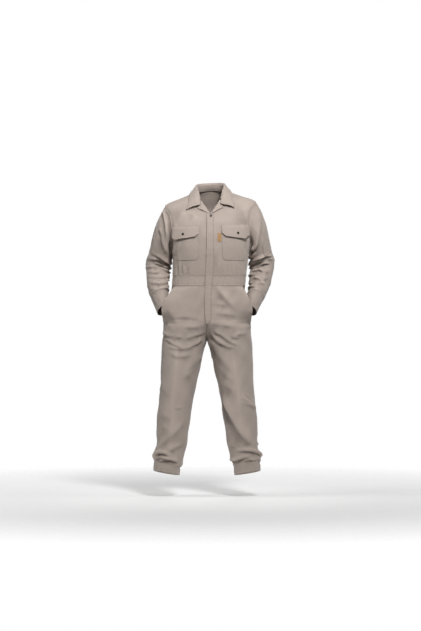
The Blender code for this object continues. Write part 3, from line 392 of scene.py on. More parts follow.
def smooth(rows, keys, x):
    """The rows as smooth curves read at x, one row to each key, with the keys rising."""
    values, keys = np.asarray(rows, float), np.asarray(keys, float)
    x = np.clip(np.asarray(x, float), keys[0], keys[-1])
    slopes = np.gradient(values, keys, axis=0)
    low = np.clip(np.searchsorted(keys, x, side="right") - 1, 0, len(keys) - 2)
    more = (...,) + (None,) * (values.ndim - 1)
    span = (keys[low + 1] - keys[low])[more]
    t = (x - keys[low])[more] / span
    return (
        (2 * t**3 - 3 * t**2 + 1) * values[low]
        + (t**3 - 2 * t**2 + t) * span * slopes[low]
        + (3 * t**2 - 2 * t**3) * values[low + 1]
        + (t**3 - t**2) * span * slopes[low + 1]
    )


def by_row(table, station):
    return np.moveaxis(smooth(table, np.arange(len(table)), station), -1, 0)


def by_height(table, z):
    return np.moveaxis(smooth([row[1:] for row in table], [row[0] for row in table], z), -1, 0)


def ease(x, start, end):
    t = np.clip((np.asarray(x, float) - start) / (end - start), 0, 1)
    return t * t * (3 - 2 * t)


def oval(angle, squareness):
    power = 2 / squareness
    cos, sin = np.cos(angle), np.sin(angle)
    return np.sign(cos) * np.abs(cos) ** power, np.sign(sin) * np.abs(sin) ** power


def xyz(x, y, z):
    return np.stack(np.broadcast_arrays(x, y, z), axis=-1)


def unit(vectors):
    return vectors / np.maximum(np.linalg.norm(vectors, axis=-1, keepdims=True), 1e-12)


def trunk_place(angle, station):
    side_z, front_z, back_z, half_width, front, back, squareness = by_row(TRUNK, station)
    cos, sin = oval(angle, squareness)
    depth, middle_z = np.where(sin > 0, front, back), np.where(sin > 0, front_z, back_z)
    return xyz(half_width * cos, -depth * sin, side_z + (middle_z - side_z) * np.sin(angle) ** 2)


def waist_place(angle, z):
    _, _, _, half_width, front, back, squareness = TRUNK[0]
    cos, sin = oval(angle, squareness)
    return xyz(half_width * cos, -np.where(sin > 0, front, back) * sin, z)


def leg_ring(z, rise_foot):
    inner_x, outer_x, _, _, _, squareness = by_height(LEG, z)
    share = np.sin(math.pi / 2 * np.clip((rise_foot - z) / (rise_foot - CROTCH), 0, 1))
    middle = np.where(z > CROTCH, outer_x * share / (1 + share), (inner_x + outer_x) / 2)
    end = np.where(z > CROTCH, np.arccos(-(share ** (squareness / 2))), math.pi)
    return middle, outer_x - middle, end


def leg_place(angle, z):
    _, _, side_y, front, back, squareness = by_height(LEG, z)
    rise_foot = np.where(np.asarray(angle) >= 0, FRONT_RISE_FOOT, BACK_RISE_FOOT)
    middle, half_width, _ = leg_ring(z, rise_foot)
    cos, sin = oval(angle, squareness)
    y = side_y - np.where(sin > 0, front + side_y, back - side_y) * sin
    tilt = np.where(sin > 0, HEM_RISE_FRONT, HEM_DROP_BACK) * np.sin(angle)
    tilt = tilt + HEM_RISE_OUTSIDE * np.cos(angle)
    return xyz(middle + half_width * cos, y, z + tilt * (1 - ease(z, HEM, HEM + HEM_RISE_REACH)))


def leg_front_place(share, z):
    _, _, end = leg_ring(z, FRONT_RISE_FOOT)
    first, edge_x, edge_y = by_height(POCKET_EDGE, z)
    fade_in = ease(z, POCKET_EDGE[0][0], POCKET_EDGE[0][0] + PUSH_FADE_FOOT)
    fade_out = 1 - ease(z, WAIST_FOOT - PUSH_FADE_TOP, WAIST_FOOT)
    push = (xyz(edge_x, edge_y, z) - leg_place(first, z)) * (fade_in * fade_out)[..., None]
    reach = np.clip(1 - share, 0, 1) ** PUSH_FALL
    return leg_place(first + (end - first) * share, z) + push * reach[..., None]


def leg_back_place(share, z):
    _, _, end = leg_ring(z, BACK_RISE_FOOT)
    return leg_place(-end * share, z)


def armhole_station(angle):
    return UNDERARM + (TIP - UNDERARM) * (1 + np.cos(angle)) / 2


def armhole_angle(station):
    share = np.clip((station - UNDERARM) / (TIP - UNDERARM), 0, 1)
    return ARMHOLE_REACH * np.sqrt(np.sin(math.pi * share))


def sleeve_ring(angle, sizes):
    outer_x, outer_z, inner_x, inner_z, mid_y, half_depth, front_rise = sizes
    cos, sin = np.cos(angle), np.sin(angle)
    x = (outer_x + inner_x) / 2 + (outer_x - inner_x) / 2 * cos
    z = (outer_z + inner_z) / 2 + (outer_z - inner_z) / 2 * cos + front_rise * sin
    return xyz(x, mid_y - half_depth * sin, z)


def sleeve_place(angle, station):
    on_armhole = armhole_station(angle)
    armhole = trunk_place(np.sign(np.sin(angle)) * armhole_angle(on_armhole), on_armhole)
    blend = np.clip(1 - station / ARMHOLE_BLEND, 0, 1)[..., None] ** 2
    to_armhole = armhole - sleeve_ring(angle, SLEEVE[0])
    return sleeve_ring(angle, by_row(SLEEVE, station)) + to_armhole * blend


def facing_place(share, z):
    inset, middle_x, middle_y, end_x, end_y = by_height(FACING, z)
    seam = leg_place(np.zeros_like(z), z)
    first, middle, last = (1 - share) ** 2, 2 * share * (1 - share), share**2
    x = (seam[..., 0] - inset) * first + middle_x * middle + end_x * last
    return xyz(x, seam[..., 1] * first + middle_y * middle + end_y * last, z)


def outward(place, a, b, sign):
    step = 1e-4
    along_a = place(a + step, b) - place(a - step, b)
    along_b = place(a, b + step) - place(a, b - step)
    return sign * unit(np.cross(along_b, along_a))


def trunk_spot(x, z):
    """Angle and station at which the bodice's front shows at x, z from in front, by halving."""
    low, high = np.zeros_like(x), np.full_like(x, NECK)
    for _ in range(40):
        station = (low + high) / 2
        _, _, _, half_width, _, _, squareness = by_row(TRUNK, station)
        angle = np.arccos(np.clip(x / half_width, 0, 1) ** (squareness / 2))
        too_low = trunk_place(angle, station)[..., 2] < z
        low, high = np.where(too_low, station, low), np.where(too_low, high, station)
    return angle, station


def front_end(station):
    fold_x, fold_z = np.array(LAPEL)[:, :2].T
    angle, level = trunk_spot(fold_x, fold_z)
    angle = np.concatenate([[math.pi / 2], angle[1:], [FOLD_AT_NECK]])
    return np.interp(station, np.append(level, NECK), angle)


SIDES = {"left": 1, "right": -1}


def mirrored(side):
    """What turns the wearer's left over into a side."""
    return np.array((SIDES[side], 1, 1))


def lean_at(z):
    """How far the hips stand towards the wearer's right at a height."""
    return LEAN * ease(-z, -LEAN_START, -LEAN_FULL)


def stand(points, side="left"):
    """Points of the wearer's left, turned over for the right, in the suit's pose."""
    posed = points * mirrored(side)
    lean = lean_at(posed[..., 2])
    posed[..., 2] += SHOULDER_TILT * posed[..., 0] * ease(posed[..., 2], TILT_NONE, TILT_FULL)
    posed[..., 0] += lean
    return posed


# ------------------------------------------------------------------ folds


def as_seen(points, view):
    """Two numbers for each point: where it shows in a view."""
    if view == "outer":
        return points[..., 1:]
    scale = CAMERA_AWAY / (CAMERA_AWAY + (1 if view == "front" else -1) * points[..., 1:2])
    level = np.array((0, EYE_LEVEL))
    return (points[..., ::2] - level) * scale + level


def fold_line(points, normals, view, path):
    """The fold's path laid on the surface, as points close together."""
    outwards = normals[:, 0] * np.sign(points[:, 0])
    facing = {"front": -normals[:, 1], "back": normals[:, 1], "outer": outwards}[view]
    seen = as_seen(points, view)
    hidden = facing < OUT_OF_SIGHT
    spots, edge_on = [], []
    for place in path:
        gap = np.linalg.norm(seen - place, axis=1) + hidden
        best = np.argsort(gap)[:3]
        spots.append(np.average(points[best], axis=0))
        edge_on.append(facing[best[0]] < EDGE_ON)
    if edge_on[0]:
        spots = walk(points, spots[0], spots[0] - spots[1])[::-1] + spots
    if edge_on[-1]:
        spots = spots + walk(points, spots[-1], spots[-1] - spots[-2])
    length = np.linalg.norm(np.diff(spots, axis=0), axis=1).sum()
    count = max(12, int(length / LINE_STEP))
    return smooth(spots, np.arange(len(spots)), np.linspace(0, len(spots) - 1, count))


def walk(points, spot, way):
    """Places further on over the surface, for a fold that runs out of sight round a limb."""
    places = []
    for _ in range(WALK_STEPS):
        ahead = spot + unit(way) * WALK_STEP
        nearest = points[np.linalg.norm(points - ahead, axis=1).argmin()]
        ahead = ahead * (1 - KEEP_TO) + nearest * KEEP_TO
        way, spot = ahead - spot, ahead
        places.append(spot)
    return places


def lay_folds(points, normals, folds, seed):
    """A table's folds laid on a surface: each one's line, depth, width and unevenness."""
    draw = np.random.default_rng(seed)
    points, normals = points.reshape(-1, 3), normals.reshape(-1, 3)
    laid = []
    for view, rows in folds.items():
        for depth, width, *path in rows:
            line = fold_line(points, normals, view, np.array(path) * MILLIMETRE)
            swing = draw.uniform(0, 2 * math.pi, 2)
            laid.append((line, depth * MILLIMETRE, width * MILLIMETRE, swing, False))
    return laid


def beside_fold(points, normals, fold, width):
    """How many widths off a fold points near it lie, its size there, and which way it leans."""
    line, depth, _, swing, open_start = fold
    gaps = np.linalg.norm(points[:, None] - line[None], axis=2)
    nearest = gaps.argmin(1)
    tangent = unit(np.gradient(line, axis=0))[nearest]
    across = unit(np.cross(normals, tangent))
    steep = np.abs(across[:, 2]).mean() < STEEP
    across = across * np.sign(across[:, 0 if steep else 2].sum())
    gap = points - line[nearest]
    past = (gap * tangent).sum(1) / width
    beside = np.linalg.norm(gap - tangent * (past * width)[:, None], axis=1)
    off = np.sign((gap * across).sum(1)) * beside / width
    share = nearest / (len(line) - 1)
    ends = np.exp(-(past**2) * ((share == 0) | (share == 1)))
    fade = np.clip(share, END_SHARE, 1 - END_SHARE)
    taper = (np.cos(math.pi / 2 * fade) if open_start else np.sin(math.pi * fade)) ** TAPER * ends
    change = sum(
        much * np.sin(often * math.pi * share + start) for (much, often), start in zip(UNEVEN, swing)
    )
    size = abs(depth) * taper * (1 + change) * (gaps.min(1) < REACH * width)
    return off, size, across * (0.0 if steep else LEAN_OVER)


def fold_shift(points, normals, laid):
    """How far and which way the folds laid near each point move it.

    A fold is a crease with a fuller ridge above it. A sharp one's ridge leans over its crease,
    and a soft one is wider. With a depth below zero it is a ridge alone.
    """
    shape = points.shape
    points, normals = points.reshape(-1, 3), normals.reshape(-1, 3)
    shift = np.zeros_like(points)
    for fold in laid:
        line, depth, width = fold[:3]
        sharp = ease(abs(depth) / width, SOFT, SHARP) if depth > 0 else 1.0
        width = width * (SOFTER + (1 - SOFTER) * sharp)
        low, high = line.min(0) - REACH * width, line.max(0) + REACH * width
        near = np.flatnonzero(((points > low) & (points < high)).all(1))
        if not len(near):
            continue
        off, size, lean = beside_fold(points[near], normals[near], fold, width)
        if depth < 0:
            pressed = abs(depth) / width < PRESSED
            ridge = np.exp(-np.abs(off)) if pressed else np.exp(-(off**2))
            shift[near] += normals[near] * (size * ridge)[:, None]
            continue
        away = np.abs(off) / np.where(off < 0, CREASE_BEHIND, CREASE_BEFORE)
        keen = KEEN * sharp
        crease = (1 - keen) * np.exp(-(away**2)) + keen * np.exp(-KEEN_FALL * away)
        beyond = off - RIDGE_AT
        ridge = np.exp(-((beyond / np.where(beyond < 0, RIDGE_BEHIND, RIDGE_BEFORE)) ** 2))
        shift[near] += normals[near] * (size * (RIDGE_HEIGHT * ridge - crease))[:, None]
        shift[near] -= lean * (size * sharp * ridge)[:, None]
    return shift.reshape(shape)


def strewn(side, place, first, last, low, high, count, depth, width, length, tilt, seed):
    """Small folds strewn over a stretch of a limb."""
    draw = np.random.default_rng(seed + SIDES[side])
    made = []
    for _ in range(count):
        a, b = draw.uniform(first, last), draw.uniform(low, high)
        half = draw.uniform(0.4, 1.0) * length / 2
        slope, bow = draw.normal() * tilt, draw.normal() * tilt * 0.5
        t = np.linspace(-1, 1, 24)
        line = stand(place(a + half * t, b + slope * t + bow * t**2), side)
        deep, wide = depth * draw.uniform(0.4, 1.0), width * draw.uniform(0.7, 1.3)
        made.append((line, deep, wide, draw.uniform(0, 6.3, 2), False))
    return made


def gathers(side, place, stretch, foot, tall, pitch, depth, width, seed):
    """Small upright pleats that stand on a seam and die out away from it."""
    draw = np.random.default_rng(seed)
    made, at = [], stretch[0]
    while at < stretch[1]:
        t = np.linspace(0, 1, 20)
        reach, slope = tall * draw.uniform(0.5, 1.3), draw.normal() * pitch * 0.35
        line = stand(place(at + slope * t, foot + reach * t), side)
        high, wide = depth * draw.uniform(0.5, 1.2), width * draw.uniform(0.8, 1.3)
        made.append((line, -high, wide, draw.uniform(0, 6.3, 2), True))
        at += pitch * draw.uniform(0.7, 1.4)
    return made


def ripple(points, normals, part):
    """The shift of a gentle unevenness all over, from waves in several directions."""
    seed, size, amount = RIPPLES[part]
    draw = np.random.default_rng(seed)
    total = np.zeros(points.shape[:-1])
    for _ in range(RIPPLE_WAVES):
        wave = unit(draw.normal(size=3)) * 2 * math.pi / (size * draw.uniform(0.6, 1.6))
        total += np.sin(points @ wave + draw.uniform(0, 2 * math.pi))
    return normals * (total * amount / math.sqrt(RIPPLE_WAVES))[..., None]


# ------------------------------------------------------------------ panels


class Cloth:
    """A panel as a grid of points, with how far each lies from its first column and first row.

    Its points are its outer face, and its sign says which way its grid's own order faces.
    """

    def __init__(self, name, points, normals, shift=None, closed=False):
        self.name, self.closed = name, closed
        self.points = points if shift is None else points + shift
        self.painted_shade_and_wear = np.zeros(points.shape[:2])  # above 0 where rubbed pale, below 0 where shade is painted into creases and seams
        if shift is not None:
            # Painted shade darkens the cloth in each fold's crease, and wear pales its ridge
            rise = (shift * normals).sum(-1) / SHADE_AND_WEAR_BY_FOLD
            pale = MOST_PALE * np.tanh(rise / PALE_REACH)
            self.painted_shade_and_wear += np.where(rise > 0, pale, np.maximum(rise, -MOST_DARK))
        self.sign = 1.0  # until the grid's own facing is known
        self.sign = np.sign((self.facing() * normals).sum())
        self.across = running(points, 1)
        self.down = running(points, 0)

    def facing(self):
        along_row = np.gradient(self.points, axis=1)
        along_column = np.gradient(self.points, axis=0)
        if self.closed:
            ends = self.points[:, 1] - self.points[:, -2]
            along_row[:, 0] = along_row[:, -1] = ends
        return self.sign * unit(np.cross(along_column, along_row))

    def from_edge(self, edge):
        """Each point's distance over the cloth from an end column or from its foot or head row."""
        if edge == "first":
            return self.across
        if edge == "last":
            return self.across[:, -1:] - self.across
        return self.down if edge == "foot" else self.down[-1:] - self.down

    def raise_by(self, height, wear_and_shade):
        self.points = self.points + self.facing() * height[..., None]
        # What sewing and gathers raise is rubbed paler, and painted shade darkens what they sink
        self.painted_shade_and_wear = self.painted_shade_and_wear + height * wear_and_shade

    def cut(self):
        """Width, length and area of the cloth in it, with what its folds take up."""
        down, across = np.diff(self.points, axis=0)[:, :-1], np.diff(self.points, axis=1)[:-1]
        area = np.linalg.norm(np.cross(down, across), axis=-1).sum()
        width, length = running(self.points, 1)[:, -1].max(), running(self.points, 0)[-1].max()
        return float(width), float(length), float(min(area, width * length))

    def line(self, edge, distance):
        """Points and outward directions along a line at a distance from an edge."""
        away = self.from_edge(edge)
        grids = np.concatenate([self.points, self.facing()], axis=-1)
        if edge in ("foot", "head"):
            away, grids = away.T, grids.transpose(1, 0, 2)
        if edge in ("last", "head"):
            away, grids = away[:, ::-1], grids[:, ::-1]
        rows = zip(away, grids)
        found = np.array([[np.interp(distance, far, one) for one in grid.T] for far, grid in rows])
        return found[:, :3], unit(found[:, 3:])


def running(points, axis):
    steps = np.linalg.norm(np.diff(points, axis=axis), axis=-1)
    start = np.zeros_like(np.take(steps, [0], axis=axis))
    return np.concatenate([start, np.cumsum(steps, axis=axis)], axis=axis)


def cells_in(length, cell, low=SEWN, high=SEWN):
    """How many even cells lie between the closer lines at the two ends of a length."""
    return max(2, round((length - low[-1] - high[-1]) / cell))


def spaced(length, cells, low=SEWN, high=SEWN):
    """Distances from 0 to a length, even but for the closer lines at its ends."""
    middle = np.linspace(low[-1], length - high[-1], cells + 1)[1:-1]
    return np.concatenate([low, middle, length - np.array(high)[::-1]])


def spread(length, cell=CELL, near=SEWN):
    return spaced(length, cells_in(length, cell, near, near), near, near)


def lay_out(place, first, last, levels):
    """Columns for rows at the given levels, from first to last, spaced as the cloth lies."""
    a = first[:, None] + (last - first)[:, None] * np.linspace(0, 1, FINE)
    run = running(place(a, np.broadcast_to(levels[:, None], a.shape)), 1)
    lengths = run[:, -1]
    cells = cells_in(lengths.mean(), CELL)
    rows = zip(lengths, run, a)
    columns = np.array([np.interp(spaced(length, cells), far, row) for length, far, row in rows])
    return columns, np.broadcast_to(levels[:, None], columns.shape)


def levels_between(place, at, low, high, cell=CELL, near_low=SEWN, near_high=SEWN):
    """Levels from low to high, spaced as the cloth lies along the line at."""
    dense = np.linspace(low, high, DENSE)
    run = running(place(np.full_like(dense, at), dense)[:, None], 0)[:, 0]
    cells = cells_in(run[-1], cell, near_low, near_high)
    return np.interp(spaced(run[-1], cells, near_low, near_high), run, dense)


PLAIN = (0.0,)  # an end without closer lines
SEAM_WELD, SNAP_WELD = 1e-5, 1e-6  # where a tube's end columns meet, and the poles of a snap


def linked(made):
    bpy.context.scene.collection.objects.link(made)
    return made


def object_from(bm, name, material):
    mesh = bpy.data.meshes.new(name)
    bm.to_mesh(mesh)
    bm.free()
    mesh.materials.append(material)
    return linked(bpy.data.objects.new(name, mesh))


def piece_from(bm, name, material):
    made = object_from(bm, name, material)
    made.data.shade_smooth()
    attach(made, "root")
    return made


def grid_mesh(bm, cloth, uv, painted_shade_and_wear):
    """The cloth's grid in a bmesh, facing outwards, with its flat cut as the UV map and its wear and
    painted shade.
    """
    rows, columns = cloth.points.shape[:2]
    made = bmesh.ops.create_grid(bm, x_segments=columns - 1, y_segments=rows - 1, size=0.5)["verts"]
    flat = np.stack([cloth.across - cloth.across[:, -1:] / 2, cloth.down], axis=-1).reshape(-1, 2)
    for vert, point, wear_and_shade in zip(made, cloth.points.reshape(-1, 3), cloth.painted_shade_and_wear.ravel()):
        vert.co = point
        vert[painted_shade_and_wear] = wear_and_shade
    number = {vert: i for i, vert in enumerate(made)}
    for face in bm.faces:
        for loop in face.loops:
            loop[uv].uv = flat[number[loop.vert]]
    if cloth.sign > 0:
        bmesh.ops.reverse_faces(bm, faces=bm.faces[:])


def cloth_piece(cloth, material):
    bm = bmesh.new()
    grid_mesh(bm, cloth, bm.loops.layers.uv.new("cut"), bm.verts.layers.float.new("painted_shade_and_wear"))
    if cloth.closed:
        bmesh.ops.remove_doubles(bm, verts=bm.verts[:], dist=SEAM_WELD)
    made = piece_from(bm, "cloth_" + cloth.name, material)
    wall = made.modifiers.new("thickness", "SOLIDIFY")
    wall.thickness = THICKNESS.get(cloth.name, CLOTH)
    wall.offset = -1
    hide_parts(cloth.name)
    return made


# ------------------------------------------------------------------ sewing

# A felled seam's two stitched ridges by distance, the turned edge of a hem or a patch, and
# the plain line that a seam's other side shows
FELLED = tuple(zip(SEWN, (0.0, 0.0010, -0.0001, 0.0009, -0.0004, 0.0)))
LAPPED = tuple(zip(SEWN, (0.0006, 0.0010, -0.0001, 0.0007, -0.0003, 0.0)))
TURNED = tuple(zip(SEWN, (0.0, 0.0005, -0.0003, 0.0004, -0.0003, 0.0)))
STITCHED = tuple(zip(SEWN, (0.0, 0.0, -0.0004, 0.0001, 0.0)))
PLAIN_SEAM = tuple(zip(SEWN, (0.0, -0.0003, 0.0)))
HEMMED = ((0.0, 0.0), (0.0012, 0.0002), (0.0105, 0.0002), (0.0130, -0.0002), (0.0160, 0.0))
ONE_ROW, TWO_ROWS = (0.0030,), (0.0030, 0.0080)
STITCH_ROWS = {
    FELLED: TWO_ROWS,
    LAPPED: TWO_ROWS,
    TURNED: ONE_ROW,
    STITCHED: ONE_ROW,
    HEMMED: (0.0130,),
}
PUCKER_WAVES = (0.011, 0.0163, 0.027)
PUCKER, PUCKER_REACH, RIDGE_CHANGE, EDGE_LINE = 0.00010, 0.013, 0.12, 0.0005
SEAM_SHADE_AND_WEAR = 600.0  # paler wear and painted shade for each metre that sewing raises or sinks the cloth
# Painted shade along the line where two pieces meet, less along a turned edge
SEAM_PAINTED_SHADE, EDGE_PAINTED_SHADE, SHADE_REACH = 0.75, 0.40, 0.0022


def waves(along, sizes, draw, turn):
    """Waves of several sizes, added up, each from a start drawn from 0 to turn."""
    return sum(np.sin(along * 2 * math.pi / size + draw.uniform(0, turn)) for size in sizes)


def relief(cloth, edges, seed):
    """Raises the cloth's edges by their profiles, with the puckers that sewing draws, and paints shade
    along each seam and edge.
    """
    height = np.zeros(cloth.points.shape[:2])
    for number, (edge, profile) in enumerate(edges.items()):
        away = cloth.from_edge(edge)
        distances, heights = np.array(profile).T
        along = cloth.down if edge in ("first", "last") else cloth.across
        draw = np.random.default_rng(seed * 10 + number)
        pucker = waves(along, PUCKER_WAVES, draw, 6.3)
        height += np.interp(away, distances, heights) * (1 + RIDGE_CHANGE * pucker)
        height += PUCKER * pucker * np.exp(-((away / PUCKER_REACH) ** 2)) * (away > EDGE_LINE)
        shade = EDGE_PAINTED_SHADE if profile is TURNED else SEAM_PAINTED_SHADE
        # Painted shade in a thin line along each seam and turned edge
        cloth.painted_shade_and_wear = cloth.painted_shade_and_wear - shade * np.exp(-((away / SHADE_REACH) ** 2))
    cloth.raise_by(height, SEAM_SHADE_AND_WEAR)


def along_run(at, run, values):
    return np.stack([np.interp(at, run, column) for column in values.T], axis=-1)


def stitches(cloth, edges, thread):
    """The rows of stitches along a panel's sewn edges, as small slivers of thread."""
    bm = bmesh.new()
    rows = [(edge, row) for edge, profile in edges.items() for row in STITCH_ROWS.get(profile, ())]
    for edge, row in rows:
        points, normals = cloth.line(edge, row)
        run = running(points[:, None], 0)[:, 0]
        at = np.arange(STITCH_PITCH, run[-1] - STITCH_PITCH, STITCH_PITCH)
        spots = along_run(at, run, points)
        ups = unit(along_run(at, run, normals))
        alongs = unit(np.gradient(spots, axis=0)) if len(at) > 1 else np.zeros_like(spots)
        for spot, up, along in zip(spots, ups, alongs):
            ways = (along * STITCH_LENGTH, np.cross(up, along) * THREAD, up * THREAD)
            turn = Matrix((*np.stack(ways, axis=1),)).to_4x4()
            place = Matrix.Translation(Vector(spot + up * THREAD * THREAD_RISE))
            bmesh.ops.create_cube(bm, size=1, matrix=place @ turn)
    return piece_from(bm, "thread_" + cloth.name, thread)


# ------------------------------------------------------------------ materials


def shader(name, colour, roughness, metallic=0.0):
    material = bpy.data.materials.new(name)
    material.use_nodes = True
    principled = material.node_tree.nodes["Principled BSDF"]
    principled.inputs["Base Color"].default_value = (*colour, 1)
    principled.inputs["Roughness"].default_value = roughness
    principled.inputs["Metallic"].default_value = metallic
    return material, principled


def node(tree, kind, **values):
    made = tree.nodes.new(kind)
    for key, value in values.items():
        if key in made.inputs:
            made.inputs[key].default_value = value
        else:
            setattr(made, key, value)
    return made


def read_at(tree, kind, place, **values):
    """A node that reads its values at a place, such as a texture."""
    made = node(tree, kind, **values)
    tree.links.new(place, made.inputs["Vector"])
    return made


def raised(tree, texture, strength, distance, over=None):
    """The surface raised by a texture, over one that is raised already."""
    made = node(tree, "ShaderNodeBump", Strength=strength, Distance=distance)
    tree.links.new(texture.outputs["Fac"], made.inputs["Height"])
    if over:
        tree.links.new(over.outputs["Normal"], made.inputs["Normal"])
    return made


def two_tones(tree, colour, change):
    """A mix of a deeper and a paler tone of a colour."""
    deep, pale = ((*(min(1, part * tone) for part in colour), 1) for tone in (1 - change, 1 + change))
    return node(tree, "ShaderNodeMix", data_type="RGBA", A=deep, B=pale)


def twill(name, colour, roughness):
    """Cotton twill: diagonal ribs by the cut's own UV, uneven yarn, wash-worn patches, and the painted
    shade and wear kept on the mesh.
    """
    material, principled = shader(name, colour, roughness)
    tree = material.node_tree
    link = tree.links.new
    cut = node(tree, "ShaderNodeUVMap", uv_map="cut").outputs["UV"]
    where = node(tree, "ShaderNodeTexCoord").outputs["Object"]
    noise, wave = "ShaderNodeTexNoise", "ShaderNodeTexWave"

    washed = read_at(tree, noise, where, Scale=7.0, Detail=5.0, Roughness=0.6)
    mottled = read_at(tree, noise, where, Scale=60.0, Detail=3.0)
    blend = node(tree, "ShaderNodeMath", operation="ADD")
    half = node(tree, "ShaderNodeMath", operation="MULTIPLY")
    half.inputs[1].default_value = 0.5
    tone = two_tones(tree, colour, 0.07)
    link(washed.outputs["Fac"], blend.inputs[0])
    link(mottled.outputs["Fac"], blend.inputs[1])
    link(blend.outputs[0], half.inputs[0])
    link(half.outputs[0], tone.inputs["Factor"])

    # The mesh's painted shade in creases and seams, and its wear on ridges, scale the tone
    wear_and_shade = node(tree, "ShaderNodeAttribute", attribute_name="painted_shade_and_wear")
    reach = {"From Min": -1.0, "From Max": 1.0, "To Min": 1 - WEAR_AND_SHADE, "To Max": 1 + WEAR_AND_SHADE}
    shade_and_wear_scale = node(tree, "ShaderNodeMapRange", **reach)
    shaded_and_worn_tone = node(tree, "ShaderNodeVectorMath", operation="SCALE")
    link(wear_and_shade.outputs["Fac"], shade_and_wear_scale.inputs["Value"])
    link(tone.outputs["Result"], shaded_and_worn_tone.inputs[0])
    link(shade_and_wear_scale.outputs["Result"], shaded_and_worn_tone.inputs["Scale"])
    link(shaded_and_worn_tone.outputs["Vector"], principled.inputs["Base Color"])

    turned = read_at(tree, "ShaderNodeMapping", cut, Rotation=(0, 0, RIB_SLANT)).outputs["Vector"]
    crumple = read_at(tree, noise, where, Scale=38.0, Detail=3.0, Roughness=0.55)
    ribs = read_at(tree, wave, turned, Scale=170.0, Distortion=0.6, Detail=1.0)
    yarn = read_at(tree, noise, cut, Scale=900.0, Detail=2.0)
    crumpled = raised(tree, crumple, 0.42, 0.0040)
    ribbed = raised(tree, ribs, 0.35, 0.0003, crumpled)
    rough = raised(tree, yarn, 0.25, 0.0003, ribbed)
    link(rough.outputs["Normal"], principled.inputs["Normal"])
    principled.inputs["Sheen Weight"].default_value = 0.25
    principled.inputs["Sheen Roughness"].default_value = 0.5
    principled.inputs["Specular IOR Level"].default_value = 0.25
    return material


def grained(name, colour, roughness, grain, change, metallic=0.0):
    """A finish whose tone, gloss and surface change a little from place to place."""
    material, principled = shader(name, colour, roughness, metallic)
    tree = material.node_tree
    link = tree.links.new
    where = node(tree, "ShaderNodeTexCoord").outputs["Object"]
    noise = read_at(tree, "ShaderNodeTexNoise", where, Scale=grain, Detail=4.0)
    tone = two_tones(tree, colour, change)
    reach = {"To Min": roughness - GLOSS_CHANGE, "To Max": roughness + GLOSS_CHANGE}
    gloss = node(tree, "ShaderNodeMapRange", **reach)
    grain_bump = raised(tree, noise, 0.3, 0.0003)
    link(noise.outputs["Fac"], tone.inputs["Factor"])
    link(noise.outputs["Fac"], gloss.inputs["Value"])
    link(tone.outputs["Result"], principled.inputs["Base Color"])
    link(gloss.outputs["Result"], principled.inputs["Roughness"])
    link(grain_bump.outputs["Normal"], principled.inputs["Normal"])
    return material, principled, grain_bump


def woven(name, colour, roughness):
    """A narrow-woven tape: fine ribs both ways by the cut's own UV over an uneven tone."""
    material, principled, surface = grained(name, colour, roughness, 300.0, 0.16)
    tree = material.node_tree
    cut = node(tree, "ShaderNodeUVMap", uv_map="cut").outputs["UV"]
    for way in ("X", "Y"):
        ribs = read_at(
            tree, "ShaderNodeTexWave", cut, Scale=420.0, Distortion=0.3, bands_direction=way
        )
        surface = raised(tree, ribs, 0.4, 0.0002, surface)
    tree.links.new(surface.outputs["Normal"], principled.inputs["Normal"])
    return material


RIB_SLANT = math.radians(63)
WEAR_AND_SHADE = 0.38  # how much paler wear and darker painted shade can make the cloth
GLOSS_CHANGE = 0.12
cloth_twill = twill("taupe_twill", (0.395, 0.330, 0.288), 0.82)
thread_cotton = grained("taupe_thread", (0.44, 0.37, 0.325), 0.6, 500.0, 0.15)[0]
snap_enamel = grained("black_enamel", (0.014, 0.013, 0.013), 0.36, 260.0, 0.45, 0.4)[0]
label_weave = woven("tan_label_weave", (0.42, 0.23, 0.09), 0.75)

# ------------------------------------------------------------------ bodice


def trunk_cloth(side, a, b):
    """Points and outward directions of the bodice at angles a and stations b."""
    return stand(trunk_place(a, b), side), outward(trunk_place, a, b, 1) * mirrored(side)


ARMHOLE_TURNS = np.linspace(math.pi, 0, 73)
ARMHOLE_FADE, WAIST_FADE = (0.001, 0.018), (WAIST_TOP, WAIST_TOP + 0.008)


def trunk_rows():
    low = levels_between(trunk_place, LOW_TRUNK_AT, 0.0, UNDERARM, near_high=PLAIN)[:-1]
    top = levels_between(trunk_place, TOP_TRUNK_AT, TIP, NECK, near_low=PLAIN)[1:]
    return np.concatenate([low, armhole_station(ARMHOLE_TURNS), top])


def armhole_ring(side):
    turns = np.concatenate([ARMHOLE_TURNS, -ARMHOLE_TURNS[::-1]])
    return stand(sleeve_place(turns, np.zeros_like(turns)), side)


LAID = {}  # the folds of each part, kept once they are laid

# Pleats that stand on the waist seam, in front and behind: first, last, tall, pitch, depth,
# width, seed
BODICE_GATHERS = (
    (0.0, 0.6, 1.0, 0.15, 0.0022, 0.0060, 11),
    (-1.5, -0.15, 1.3, 0.14, 0.0034, 0.0070, 13),
)


def bodice_surface():
    """Points and outward directions all over the bodice, on which its folds are laid."""
    halves = [half_bodice(side, sign) for side in SIDES for sign in (1, -1)]
    return [np.concatenate([half[k].reshape(-1, 3) for half in halves]) for k in (0, 1)]


